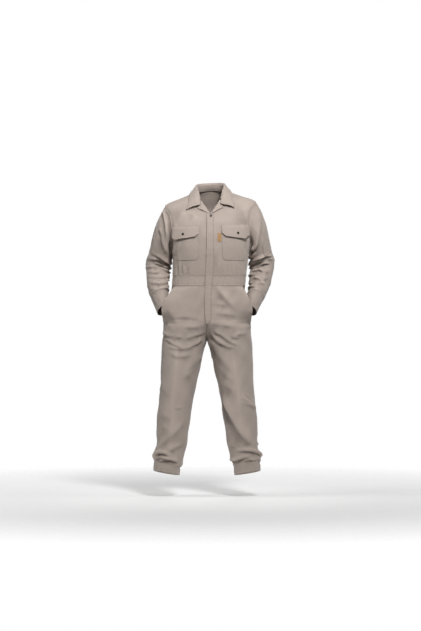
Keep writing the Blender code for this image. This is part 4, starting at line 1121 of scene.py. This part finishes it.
def bodice_folds(points, normals):
    """The shift of the bodice's folds, which die out at its armholes and its waist seam."""
    if "bodice" not in LAID:
        LAID["bodice"] = lay_folds(*bodice_surface(), FOLDS["bodice"], 3)
        for number, side in enumerate(SIDES):
            for first, last, tall, pitch, depth, width, seed in BODICE_GATHERS:
                sizes = (tall, pitch, depth, width, seed + number)
                LAID["bodice"] += gathers(side, trunk_place, (first, last), 0.0, *sizes)
    shift = fold_shift(points, normals, LAID["bodice"]) + ripple(points, normals, "bodice")
    gap = np.full(points.shape[:2], 1.0)
    for side in SIDES:
        for spot in armhole_ring(side):
            gap = np.minimum(gap, np.linalg.norm(points - spot, axis=-1))
    fade = ease(gap, *ARMHOLE_FADE) * ease(points[..., 2], *WAIST_FADE)
    return shift * fade[..., None]


def half_bodice(side, sign):
    rows = trunk_rows()
    start = np.where((rows > UNDERARM) & (rows < TIP), armhole_angle(rows), 0.0)
    end = front_end(rows) if sign > 0 else np.full_like(rows, math.pi / 2)
    a, b = lay_out(trunk_place, sign * start, sign * end, rows)
    return trunk_cloth(side, a, b)


def joined(left, right):
    """Grids of the two sides as one, which meet in the last column of each."""
    return np.concatenate([left[:, :-1], right[:, ::-1]], axis=1)


def make_bodice():
    made = {f"front_{side}": half_bodice(side, 1) for side in SIDES}
    made["back"] = [joined(*grids) for grids in zip(*(half_bodice(side, -1) for side in SIDES))]
    cloths = {}
    for name, (points, normals) in made.items():
        cloths[name] = Cloth(name, points, normals, bodice_folds(points, normals))
    return cloths


# ------------------------------------------------------------------ waistband

WAIST_LAP = 0.0010
BAND_WAVES, BAND_GATHER, BAND_SHADE_AND_WEAR = (0.012, 0.019, 0.031), 0.0009, 250.0
FLATTER_IN_FRONT, BAND_FRONT = 0.85, (0.03, 0.10)


def make_waistband():
    foot, top = WAIST_FOOT - WAIST_LAP, WAIST_TOP + WAIST_LAP
    rows = foot + spread(top - foot, BAND_CELL)
    quarter = np.full_like(rows, math.pi / 2)
    a, b = lay_out(waist_place, quarter, -quarter, rows)
    local, facing = waist_place(a, b), outward(waist_place, a, b, 1)
    points = joined(*(stand(local, side) for side in SIDES))
    cloth = Cloth("waistband", points, joined(*(facing * mirrored(side) for side in SIDES)))
    gather = waves(cloth.across, BAND_WAVES, np.random.default_rng(8), 6)
    even = 1 - FLATTER_IN_FRONT * ease(-points[..., 1], *BAND_FRONT)
    across = np.sin(np.pi * (points[..., 2] - WAIST_FOOT) / (WAIST_TOP - WAIST_FOOT))
    # Painted shade darkens the hollows between the gathers, and their tops are rubbed paler
    cloth.raise_by(BAND_GATHER * gather * even * across, BAND_SHADE_AND_WEAR)
    return cloth


# ------------------------------------------------------------------ sleeves and legs

# Small creases all over a limb, by their place on its form: form, first, last, low, high,
# count, depth, width, length, tilt, seed
SLEEVE_CREASES = (
    (sleeve_place, -2.9, -0.6, 4.2, 7.5, 11, 0.0090, 0.007, 1.5, 0.28, 60),
    (sleeve_place, -2.9, -0.5, 7.5, 9.6, 6, 0.0065, 0.007, 1.3, 0.20, 62),
    (sleeve_place, -2.6, -0.6, 1.8, 4.2, 4, 0.0045, 0.009, 1.2, 0.45, 64),
    (sleeve_place, -math.pi, math.pi, 4.0, 9.6, 18, 0.0020, 0.004, 0.8, 0.22, 66),
)
LEG_CREASES = (
    (leg_back_place, 0.15, 0.85, -1.385, -1.270, 8, 0.0095, 0.008, 0.80, 0.012, 80),
    (leg_back_place, 0.20, 0.80, -1.120, -0.980, 7, 0.0060, 0.009, 0.70, 0.014, 82),
    (leg_back_place, 0.25, 0.85, -0.860, -0.740, 5, 0.0060, 0.010, 0.60, 0.022, 84),
    (leg_front_place, 0.15, 0.85, -1.380, -1.250, 7, 0.0020, 0.005, 0.35, 0.010, 86),
    (leg_back_place, 0.15, 0.85, -1.380, -0.900, 10, 0.0020, 0.006, 0.40, 0.016, 90),
)
# The underarm, which bunches against the side, from one station to another: depth, width
UNDERARM_BUNCH, BUNCH_FIRST, BUNCH_LAST = (-0.0085, 0.020), 0.1, 4.4
# Distances, and levels, between which folds come and go next to seams
ARMHOLE_END, CUFF_FADE = (0.001, 0.014), (0.0, 0.012)
MIDDLE_FADE, MIDDLE_FOOT = (0.0, 0.012), CROTCH - 0.02
HEM_FADE, BAND_FADE = (HEM + 0.01, HEM + 0.035), (WAIST_FOOT - 0.007, WAIST_FOOT)
# Pleats that stand down from the waist seam behind: first and last, then tall, pitch, depth, width
SEAT_PLEATS, SEAT_SIZES = (0.12, 0.92), (-0.045, 0.085, 0.0030, 0.0070)
WALL_STARTS = 0.01  # share of the hip pocket's back wall that lies in the seam


def tube(side, low, high, cell=CELL):
    """Points and outward directions of the sleeve's tube between two stations."""
    turns = np.concatenate([ARMHOLE_TURNS, -ARMHOLE_TURNS[-2::-1]])
    a, b = np.meshgrid(turns, levels_between(sleeve_place, SLEEVE_AT, low, high, cell))
    facing = outward(sleeve_place, a, b, -1) * mirrored(side)
    return stand(sleeve_place(a, b), side), facing


def make_sleeve(side):
    name = f"sleeve_{side}"
    points, facing = tube(side, 0.0, CUFF_SEAM, SLEEVE_CELL)
    LAID[name] = lay_folds(points, facing, FOLDS[name], 20 + SIDES[side])
    inner = np.linspace(BUNCH_FIRST, BUNCH_LAST, 64)
    bunched = stand(sleeve_place(np.full_like(inner, math.pi), inner), side)
    LAID[name].append((bunched, *UNDERARM_BUNCH, np.zeros(2), False))
    for row in SLEEVE_CREASES:
        LAID[name] += strewn(side, *row)
    shift = fold_shift(points, facing, LAID[name]) + ripple(points, facing, "sleeve")
    down = running(points, 0)
    fade = ease(down, *ARMHOLE_END) * ease(down[-1:] - down, *CUFF_FADE)
    return Cloth(name, points, facing, shift * fade[..., None], closed=True)


def make_cuff(side):
    points, facing = tube(side, CUFF_SEAM, CUFF_END)
    return Cloth(f"cuff_{side}", points + ripple(points, facing, "cuff"), facing, closed=True)


def leg_surface(side):
    """Points and outward directions all over a leg, on which its folds are laid."""
    level, share = np.meshgrid(np.linspace(HEM, WAIST_FOOT, 220), np.linspace(0, 1, 60))
    surfaces = []
    for place, sign in ((leg_front_place, 1), (leg_back_place, -1)):
        points = stand(place(share, level), side)
        surfaces.append((points, outward(place, share, level, sign) * mirrored(side)))
    return [np.concatenate([surface[k].reshape(-1, 3) for surface in surfaces]) for k in (0, 1)]


def leg_folds(points, normals, side):
    """The shift of a leg's folds, which die out at the middle seam, the hem and the waist seam."""
    name = f"leg_{side}"
    if name not in LAID:
        LAID[name] = lay_folds(*leg_surface(side), FOLDS[name], 40 + SIDES[side])
        for row in LEG_CREASES:
            LAID[name] += strewn(side, *row)
        seed = 92 + SIDES[side]
        LAID[name] += gathers(side, leg_back_place, SEAT_PLEATS, WAIST_FOOT, *SEAT_SIZES, seed)
    shift = fold_shift(points, normals, LAID[name]) + ripple(points, normals, "leg")
    x, _, z = np.moveaxis(points, -1, 0)
    at_middle = np.where(z > MIDDLE_FOOT, ease(np.abs(x - lean_at(z)), *MIDDLE_FADE), 1.0)
    at_hem, at_waist = ease(z, *HEM_FADE), 1 - ease(z, *BAND_FADE)
    return shift * (at_middle * at_hem * at_waist)[..., None]


def make_leg(side):
    rows = levels_between(leg_back_place, HALFWAY, HEM, WAIST_FOOT)
    halves = []
    for place, sign in ((leg_front_place, 1), (leg_back_place, -1)):
        a, b = lay_out(place, np.zeros_like(rows), np.ones_like(rows), rows)
        local = place(a, b)
        local[..., 0] = np.maximum(local[..., 0], 0)
        facing = outward(place, a, b, sign) * mirrored(side)
        points = stand(local, side)
        shift = leg_folds(points, facing, side)
        if sign > 0:
            mouth = ease(running(points, 1), 0.0, MOUTH_FADE)
            shift *= np.where(rows[:, None] > POCKET_EDGE[0][0], mouth, 1.0)[..., None]
        halves.append((points, facing, shift))
    for column in (0, -1):
        meet_at_seam(halves, column, rows < (POCKET_EDGE[0][0] if column == 0 else CROTCH))
    names = (f"leg_front_{side}", f"leg_back_{side}")
    return {name: Cloth(name, *half) for name, half in zip(names, halves)}


def meet_at_seam(halves, column, rows):
    """Lets the folds of two panels run across the seam where their end columns meet."""
    wanted = (halves[0][2][:, column] + halves[1][2][:, column]) / 2
    for points, _, shift in halves:
        away = running(points, 1)
        away = away if column == 0 else away[:, -1:] - away
        more = (wanted - shift[:, column]) * rows[:, None]
        shift += more[:, None] * np.exp(-((away / SEAM_BLEND) ** 2))[..., None]


def make_hip_pocket(side):
    rows = levels_between(facing_place, HALFWAY, FACING[0][0], FACING[-1][0])
    a, b = lay_out(facing_place, np.full_like(rows, WALL_STARTS), np.ones_like(rows), rows)
    facing = outward(facing_place, a, b, 1) * mirrored(side)
    points = stand(facing_place(a, b), side)
    return Cloth(f"hip_pocket_{side}", points + ripple(points, facing, "hip_pocket"), facing)


# ------------------------------------------------------------------ what lies on the bodice


def on_bodice(x, z, side):
    """Points and outward directions of the bodice's front at places seen from in front."""
    a, b = trunk_spot(np.abs(x), z)
    points, normals = trunk_cloth(side, a, b)
    return points + bodice_folds(points, normals), normals


def patch_places(shape, near):
    """x and z of a patch with cut-off lower corners, foot row first."""
    inner, outer, top, foot_inner, foot_outer, corner_x, corner_z = shape
    tall = top - foot_inner
    down = spread(tall, near=near)
    if corner_z:
        down = np.sort(np.append(down, corner_z))
    down = down[::-1]
    v = 1 - down / tall
    across = spread(outer - inner, near=near) / (outer - inner)
    cut = corner_x * np.clip(1 - down / corner_z, 0, 1) if corner_z else np.zeros_like(down)
    x = inner + cut[:, None] + (outer - inner - 2 * cut[:, None]) * across
    foot = foot_inner + (foot_outer - foot_inner) * (x - inner) / (outer - inner)
    z = top + (foot - top) * v[:, None]
    return x[::-1], z[::-1]


def flap_lift(_, z):
    hang = np.clip((FLAP[2] - z) / (FLAP[2] - FLAP[4]), 0, 1)
    return FLAP_LIFT + FLAP_STAND * np.minimum(1, hang / FLAP_STANDS_BY) + FLAP_SWING * hang**2


def make_patch(name, shape, side, lift, near=SEWN):
    x, z = patch_places(shape, near)
    points, normals = on_bodice(x, z, side)
    points = points + normals * lift(x, z)[..., None]
    return Cloth(name, points, normals)


def pocket_lift(x, z):
    inner, outer, top, foot, *_ = CHEST_POCKET
    across = np.clip((x - inner) / (outer - inner), 0, 1)
    upwards = np.clip((z - foot) / (top - foot), 0, 1)
    return POCKET_LIFT + POCKET_FULL * np.sin(math.pi * across) * np.sin(math.pi * upwards)


def label_lift(x, _):
    return np.full_like(x, LABEL_LIFT)


PATCHES = (
    ("chest_pocket", CHEST_POCKET, pocket_lift),
    ("flap", FLAP, flap_lift),
)
LAPEL_ROWS, LAPEL_CELL, LAPEL_NEAR = 36, 0.09, (0.0, 0.03, 0.09, 0.15)


def make_lapel(side):
    """The front's turned-back edge, which stands off more towards its free side."""
    rows = np.linspace(0, len(LAPEL) - 1, LAPEL_ROWS)
    fold_x, fold_z, edge_x, edge_z = (
        np.interp(rows, range(len(LAPEL)), column)[:, None] for column in np.array(LAPEL).T
    )
    share = spread(1.0, LAPEL_CELL, LAPEL_NEAR)
    x, z = fold_x + (edge_x - fold_x) * share, fold_z + (edge_z - fold_z) * share
    points, normals = on_bodice(x, z, side)
    grown = np.clip(rows[:, None] / 2, 0, 1)
    rise = LAPEL_FULL * np.sin(math.pi * share**0.6) + LAPEL_RISE * share
    lift = LAPEL_LIFT + rise * grown
    return Cloth(f"lapel_{side}", points + normals * lift[..., None], normals)


def up(height):
    return np.array((0, 0, height))


def make_collar():
    """The collar from its seam up inside the neck, over its roll and down to its edge."""
    stations = np.linspace(0, len(COLLAR) - 1, COLLAR_STATIONS)
    columns = by_row(COLLAR, stations)
    roll, fall, edge = (columns[i : i + 3].T for i in (1, 4, 7))
    seam = trunk_place(columns[0], np.full_like(stations, NECK))
    to_neck = -unit(seam * np.array((1, 1, 0)))
    seam = seam + to_neck * COLLAR_INSIDE - up(COLLAR_SUNK)
    line = np.stack(
        [
            seam,
            (seam + roll) / 2 + to_neck * COLLAR_ROLL,
            roll,
            roll + up(ROLL_TOP) - to_neck * COLLAR_ROLL,
            roll * 0.45 + fall * 0.55 + up(FALL_ROUND),
            fall,
            (fall + edge) / 2 + up(EDGE_ROUND),
            edge,
        ]
    )
    keys = running(line, 0).mean(axis=1)
    even = np.arange(0, keys[-1] - SEWN[-1], COLLAR_CELL)
    spots = np.concatenate([even, keys[-1] - np.array(SEWN)[::-1]])
    fine = np.stack([smooth(line[:, i], keys, spots) for i in range(line.shape[1])], axis=1)
    whole = joined(*(stand(fine, side) for side in SIDES))
    outer = unit(np.cross(np.gradient(whole, axis=0), np.gradient(whole, axis=1)))
    return Cloth("collar", whole, outer)


def middle_front(x, z):
    """Points and outward directions beside the middle of the front, from neck to crotch."""
    beside = np.abs(x)
    on_trunk, trunk_out = on_bodice(beside, np.maximum(z, WAIST_TOP), "left")
    level = np.minimum(z, WAIST_FOOT)
    middle, half_width, _ = leg_ring(level, FRONT_RISE_FOOT)
    squareness = by_height(LEG, level)[-1]
    out = (beside - middle) / half_width
    turn = np.arccos(np.clip(np.sign(out) * np.abs(out) ** (squareness / 2), -1, 1))
    on_legs = stand(leg_place(turn, level))
    legs_out = outward(leg_place, turn, level, 1)
    on_legs = on_legs + leg_folds(on_legs, legs_out, "left")
    share = np.clip((WAIST_TOP - z) / (WAIST_TOP - WAIST_FOOT), 0, 1)[..., None]
    y = (on_trunk * (1 - share) + on_legs * share)[..., 1]
    facing = unit(trunk_out * (1 - share) + legs_out * share)
    facing[..., 0] *= np.where(x < 0, -1, 1)
    return stand(xyz(x, y, z)), facing


def make_placket():
    """The lap of the front: its free edge stands off, and its other edge is stitched down flat."""
    foot, head = PLACKET[0][0], PLACKET[-1][0]
    wide = PLACKET[-1][2] - PLACKET[-1][1]
    share, z = np.meshgrid(spread(wide) / wide, foot + spread(head - foot))
    right, left = by_height(PLACKET, z)
    x = right + (left - right) * share
    z = z + PLACKET_TOP_SLOPE * np.abs(x) * ease(z, head - SLOPE_REACH, head)
    points, facing = middle_front(x, z)
    band = ease(z, WAIST_FOOT - BAND_STEP, WAIST_FOOT)
    band = band * (1 - ease(z, WAIST_TOP, WAIST_TOP + BAND_STEP))
    groove = np.exp(-(((z - WAIST_FOOT - GROOVE_AT) / GROOVE_WIDTH) ** 2))
    lift = PLACKET_LIFT + PLACKET_RISE * (1 - share) ** 1.5 + OVER_BAND * band - BAND_GROOVE * groove
    return Cloth("placket", points + facing * lift[..., None], facing)


def make_sleeve_pocket():
    """A patch on the outside of the left sleeve, which its folds run across."""
    front, back, top, foot = SLEEVE_POCKET
    stations = levels_between(sleeve_place, SLEEVE_POCKET_AT, top, foot)
    a, b = lay_out(sleeve_place, *(np.full_like(stations, edge) for edge in (front, back)), stations)
    facing = outward(sleeve_place, a, b, -1)
    points = stand(sleeve_place(a, b))
    shift = fold_shift(points, facing, LAID["sleeve_left"]) + ripple(points, facing, "sleeve")
    return Cloth("sleeve_pocket", points + shift + facing * SLEEVE_POCKET_LIFT, facing)


# ------------------------------------------------------------------ snaps

SNAP_STEPS = 28
# A snap's cap, a dished disc with a rolled rim: radius, height
SNAP_PROFILE = (
    (0.0, 0.0018),
    (0.0026, 0.0017),
    (0.0039, 0.0020),
    (0.0052, 0.0026),
    (0.0062, 0.0020),
    (0.0065, 0.0010),
    (0.0059, 0.0),
)


def make_snap(name, place, side, lift):
    """A snap's cap, spun round its own axis and set on the cloth at x, z from in front."""
    x, z = (np.array([[value]]) for value in place)
    points, normals = on_bodice(x, z, side)
    spot, facing = points[0, 0] + normals[0, 0] * lift, normals[0, 0]
    bm = bmesh.new()
    ring = [bm.verts.new((radius, 0, height)) for radius, height in SNAP_PROFILE]
    geom = ring + [bm.edges.new(pair) for pair in zip(ring, ring[1:])]
    turning = {"axis": (0, 0, 1), "cent": (0, 0, 0), "steps": SNAP_STEPS, "angle": 2 * math.pi}
    bmesh.ops.spin(bm, geom=geom, use_merge=True, **turning)
    bmesh.ops.remove_doubles(bm, verts=bm.verts[:], dist=SNAP_WELD)
    bmesh.ops.holes_fill(bm, edges=bm.edges[:])
    bmesh.ops.recalc_face_normals(bm, faces=bm.faces[:])
    turn = Vector(facing).to_track_quat("Z", "Y").to_matrix().to_4x4()
    bmesh.ops.transform(bm, verts=bm.verts[:], matrix=Matrix.Translation(Vector(spot)) @ turn)
    made = piece_from(bm, "cloth_" + name, snap_enamel)
    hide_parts(name)


# ------------------------------------------------------------------ putting it together


def how_held():
    """How each panel is held, and what it hangs from or lies on."""
    held = {
        "back": ("draped",),
        "waistband": ("gathered", "front_left", "front_right", "back"),
        "collar": ("folded", "front_left", "front_right", "back"),
        "placket": ("laid", "front_left", "front_right"),
        "sleeve_pocket": ("laid", "sleeve_left"),
        "label": ("laid", "front_left"),
    }
    for side in SIDES:
        front = f"front_{side}"
        held[front] = ("draped", "back")
        held[f"sleeve_{side}"] = ("draped", front, "back")
        held[f"cuff_{side}"] = ("hung", f"sleeve_{side}")
        for part in ("leg_front", "leg_back", "hip_pocket"):
            held[f"{part}_{side}"] = ("hung", "waistband")
        held[f"chest_pocket_{side}"] = ("laid", front)
        held[f"flap_{side}"] = ("laid", f"chest_pocket_{side}")
        held[f"lapel_{side}"] = ("folded", front)
    return held


def how_sewn():
    """How each panel's edges are sewn. The order of the rows also seeds their puckers."""
    sewn = {
        "front_left": {"first": FELLED, "foot": PLAIN_SEAM, "head": PLAIN_SEAM},
        "front_right": {"first": FELLED, "foot": PLAIN_SEAM, "head": PLAIN_SEAM},
        "back": dict.fromkeys(("first", "last", "foot", "head"), PLAIN_SEAM),
        "waistband": {"foot": LAPPED, "head": LAPPED},
        "placket": {"first": TURNED, "last": STITCHED, "foot": STITCHED, "head": TURNED},
        "collar": dict.fromkeys(("head", "first", "last"), TURNED),
        "sleeve_pocket": dict.fromkeys(("head", "foot", "first", "last"), TURNED),
        "label": {"head": STITCHED, "foot": STITCHED},
    }
    legs = {"first": FELLED, "last": PLAIN_SEAM}, {"first": PLAIN_SEAM, "last": FELLED}
    for side in SIDES:
        sewn[f"sleeve_{side}"] = {"foot": PLAIN_SEAM, "head": PLAIN_SEAM}
        sewn[f"cuff_{side}"] = {"foot": FELLED, "head": TURNED}
        for part, sides in zip(("front", "back"), legs):
            sewn[f"leg_{part}_{side}"] = sides | {"head": PLAIN_SEAM, "foot": HEMMED}
        sewn[f"lapel_{side}"] = {"last": TURNED, "head": TURNED}
        for part in ("chest_pocket", "flap"):
            sewn[f"{part}_{side}"] = dict.fromkeys(("first", "last", "foot", "head"), TURNED)
    return sewn


def make_panels():
    cloths = make_bodice()
    cloths["waistband"] = make_waistband()
    for side in SIDES:
        cloths[f"sleeve_{side}"] = make_sleeve(side)
        cloths[f"cuff_{side}"] = make_cuff(side)
        cloths.update(make_leg(side))
        cloths[f"hip_pocket_{side}"] = make_hip_pocket(side)
        for part, shape, lift in PATCHES:
            cloths[f"{part}_{side}"] = make_patch(f"{part}_{side}", shape, side, lift)
        cloths[f"lapel_{side}"] = make_lapel(side)
    cloths["collar"] = make_collar()
    cloths["placket"] = make_placket()
    cloths["sleeve_pocket"] = make_sleeve_pocket()
    cloths["label"] = make_patch("label", LABEL, "left", label_lift, SEWN[:4])
    return cloths


def sew(cloths, sewn):
    """Gives the panels their seams. The legs' middle edges go back to the suit's middle."""
    for seed, (name, edges) in enumerate(sewn.items()):
        relief(cloths[name], edges, seed)
        if name.startswith("leg_"):
            end = cloths[name].points[:, -1]
            end[:, 0] = np.where(end[:, 2] > CROTCH, lean_at(end[:, 2]), end[:, 0])


def make_suit():
    cloths, sewn, holding = make_panels(), how_sewn(), how_held()
    sew(cloths, sewn)
    for name, cloth in cloths.items():
        if name == "label":
            made = cloth_piece(cloth, label_weave)
        else:
            made = cloth_piece(cloth, cloth_twill)
        rows = any(profile in STITCH_ROWS for profile in sewn.get(name, {}).values())
        threads = [stitches(cloth, sewn[name], thread_cotton)] if rows else []
        width, length, area = cloth.cut()
    for side in SIDES:
        make_snap(f"chest_snap_{side}", CHEST_SNAP, side, flap_lift(*CHEST_SNAP))
    make_snap("neck_snap", NECK_SNAP, "left", NECK_SNAP_LIFT)


make_suit()

# ------------------------------------------------------------------ floor, light and camera

WHITE = (1, 1, 1, 1)
FLOOR_RADIUS, FADE_START, FLOOR_GLOW = 2.6, 0.9, 0.30
ROOM_LIGHT, WALLS = 0.14, 1.0
SENSOR = 36
AIM = Vector((0, 0, -0.1))
# Lamps: name, place, size, spread in degrees, power
LAMPS = (
    ("key", (0.7, -2.6, 1.95), 0.6, 62, 14),
    ("left", (-2.5, -0.9, 1.5), 1.4, 180, 30),
    ("right", (2.6, -0.5, 1.2), 1.4, 180, 14),
    ("back", (0.6, 3.0, 1.8), 1.6, 180, 14),
)


def make_floor():
    """A pale round floor that fades out towards its rim."""
    material, principled = shader("pale_floor", (0.86, 0.86, 0.86), 0.9)
    principled.inputs["Emission Color"].default_value = WHITE
    principled.inputs["Emission Strength"].default_value = FLOOR_GLOW
    tree = material.node_tree
    where = node(tree, "ShaderNodeTexCoord")
    flat = node(tree, "ShaderNodeVectorMath", operation="MULTIPLY")
    flat.inputs[1].default_value = (1, 1, 0)
    away = node(tree, "ShaderNodeVectorMath", operation="LENGTH")
    reach = {"From Min": FADE_START, "From Max": FLOOR_RADIUS - 0.1, "To Min": 1.0, "To Max": 0.0}
    fade = node(tree, "ShaderNodeMapRange", **reach)
    tree.links.new(where.outputs["Object"], flat.inputs[0])
    tree.links.new(flat.outputs[0], away.inputs[0])
    tree.links.new(away.outputs["Value"], fade.inputs["Value"])
    tree.links.new(fade.outputs["Result"], principled.inputs["Alpha"])
    bm = bmesh.new()
    place = Matrix.Translation((0, 0, FLOOR))
    bmesh.ops.create_circle(bm, cap_ends=True, segments=96, radius=FLOOR_RADIUS, matrix=place)
    floor = object_from(bm, "floor", material)


def make_studio():
    """White walls to the eye, a softer light all round, a key lamp and three large soft ones."""
    world = bpy.data.worlds.new("studio")
    bpy.context.scene.world = world
    world.use_nodes = True
    tree = world.node_tree
    walls = tree.nodes["Background"]
    walls.inputs["Color"].default_value = WHITE
    seen = node(tree, "ShaderNodeLightPath")
    strength = node(tree, "ShaderNodeMapRange", **{"To Min": ROOM_LIGHT, "To Max": WALLS})
    tree.links.new(seen.outputs["Is Camera Ray"], strength.inputs["Value"])
    tree.links.new(strength.outputs["Result"], walls.inputs["Strength"])
    for name, place, size, spread_angle, power in LAMPS:
        lamp = bpy.data.lights.new(name, "AREA")
        lamp.energy, lamp.size, lamp.spread = power, size, math.radians(spread_angle)
        made = linked(bpy.data.objects.new(name, lamp))
        made.location = place
        made.rotation_euler = (AIM - Vector(place)).to_track_quat("-Z", "Y").to_euler()


def make_camera():
    """A camera level with the suit's middle, whose view is as tall as VIEW_HEIGHT there."""
    lens = bpy.data.cameras.new("camera")
    lens.sensor_width = SENSOR
    lens.lens = SENSOR * CAMERA_AWAY / VIEW_HEIGHT
    camera = linked(bpy.data.objects.new("camera", lens))
    camera.location = (0, -CAMERA_AWAY, EYE_LEVEL)
    camera.rotation_euler = (math.pi / 2, 0, 0)
    bpy.context.scene.camera = camera


make_floor()
make_studio()
make_camera()
bpy.context.scene.view_settings.view_transform = "Standard"
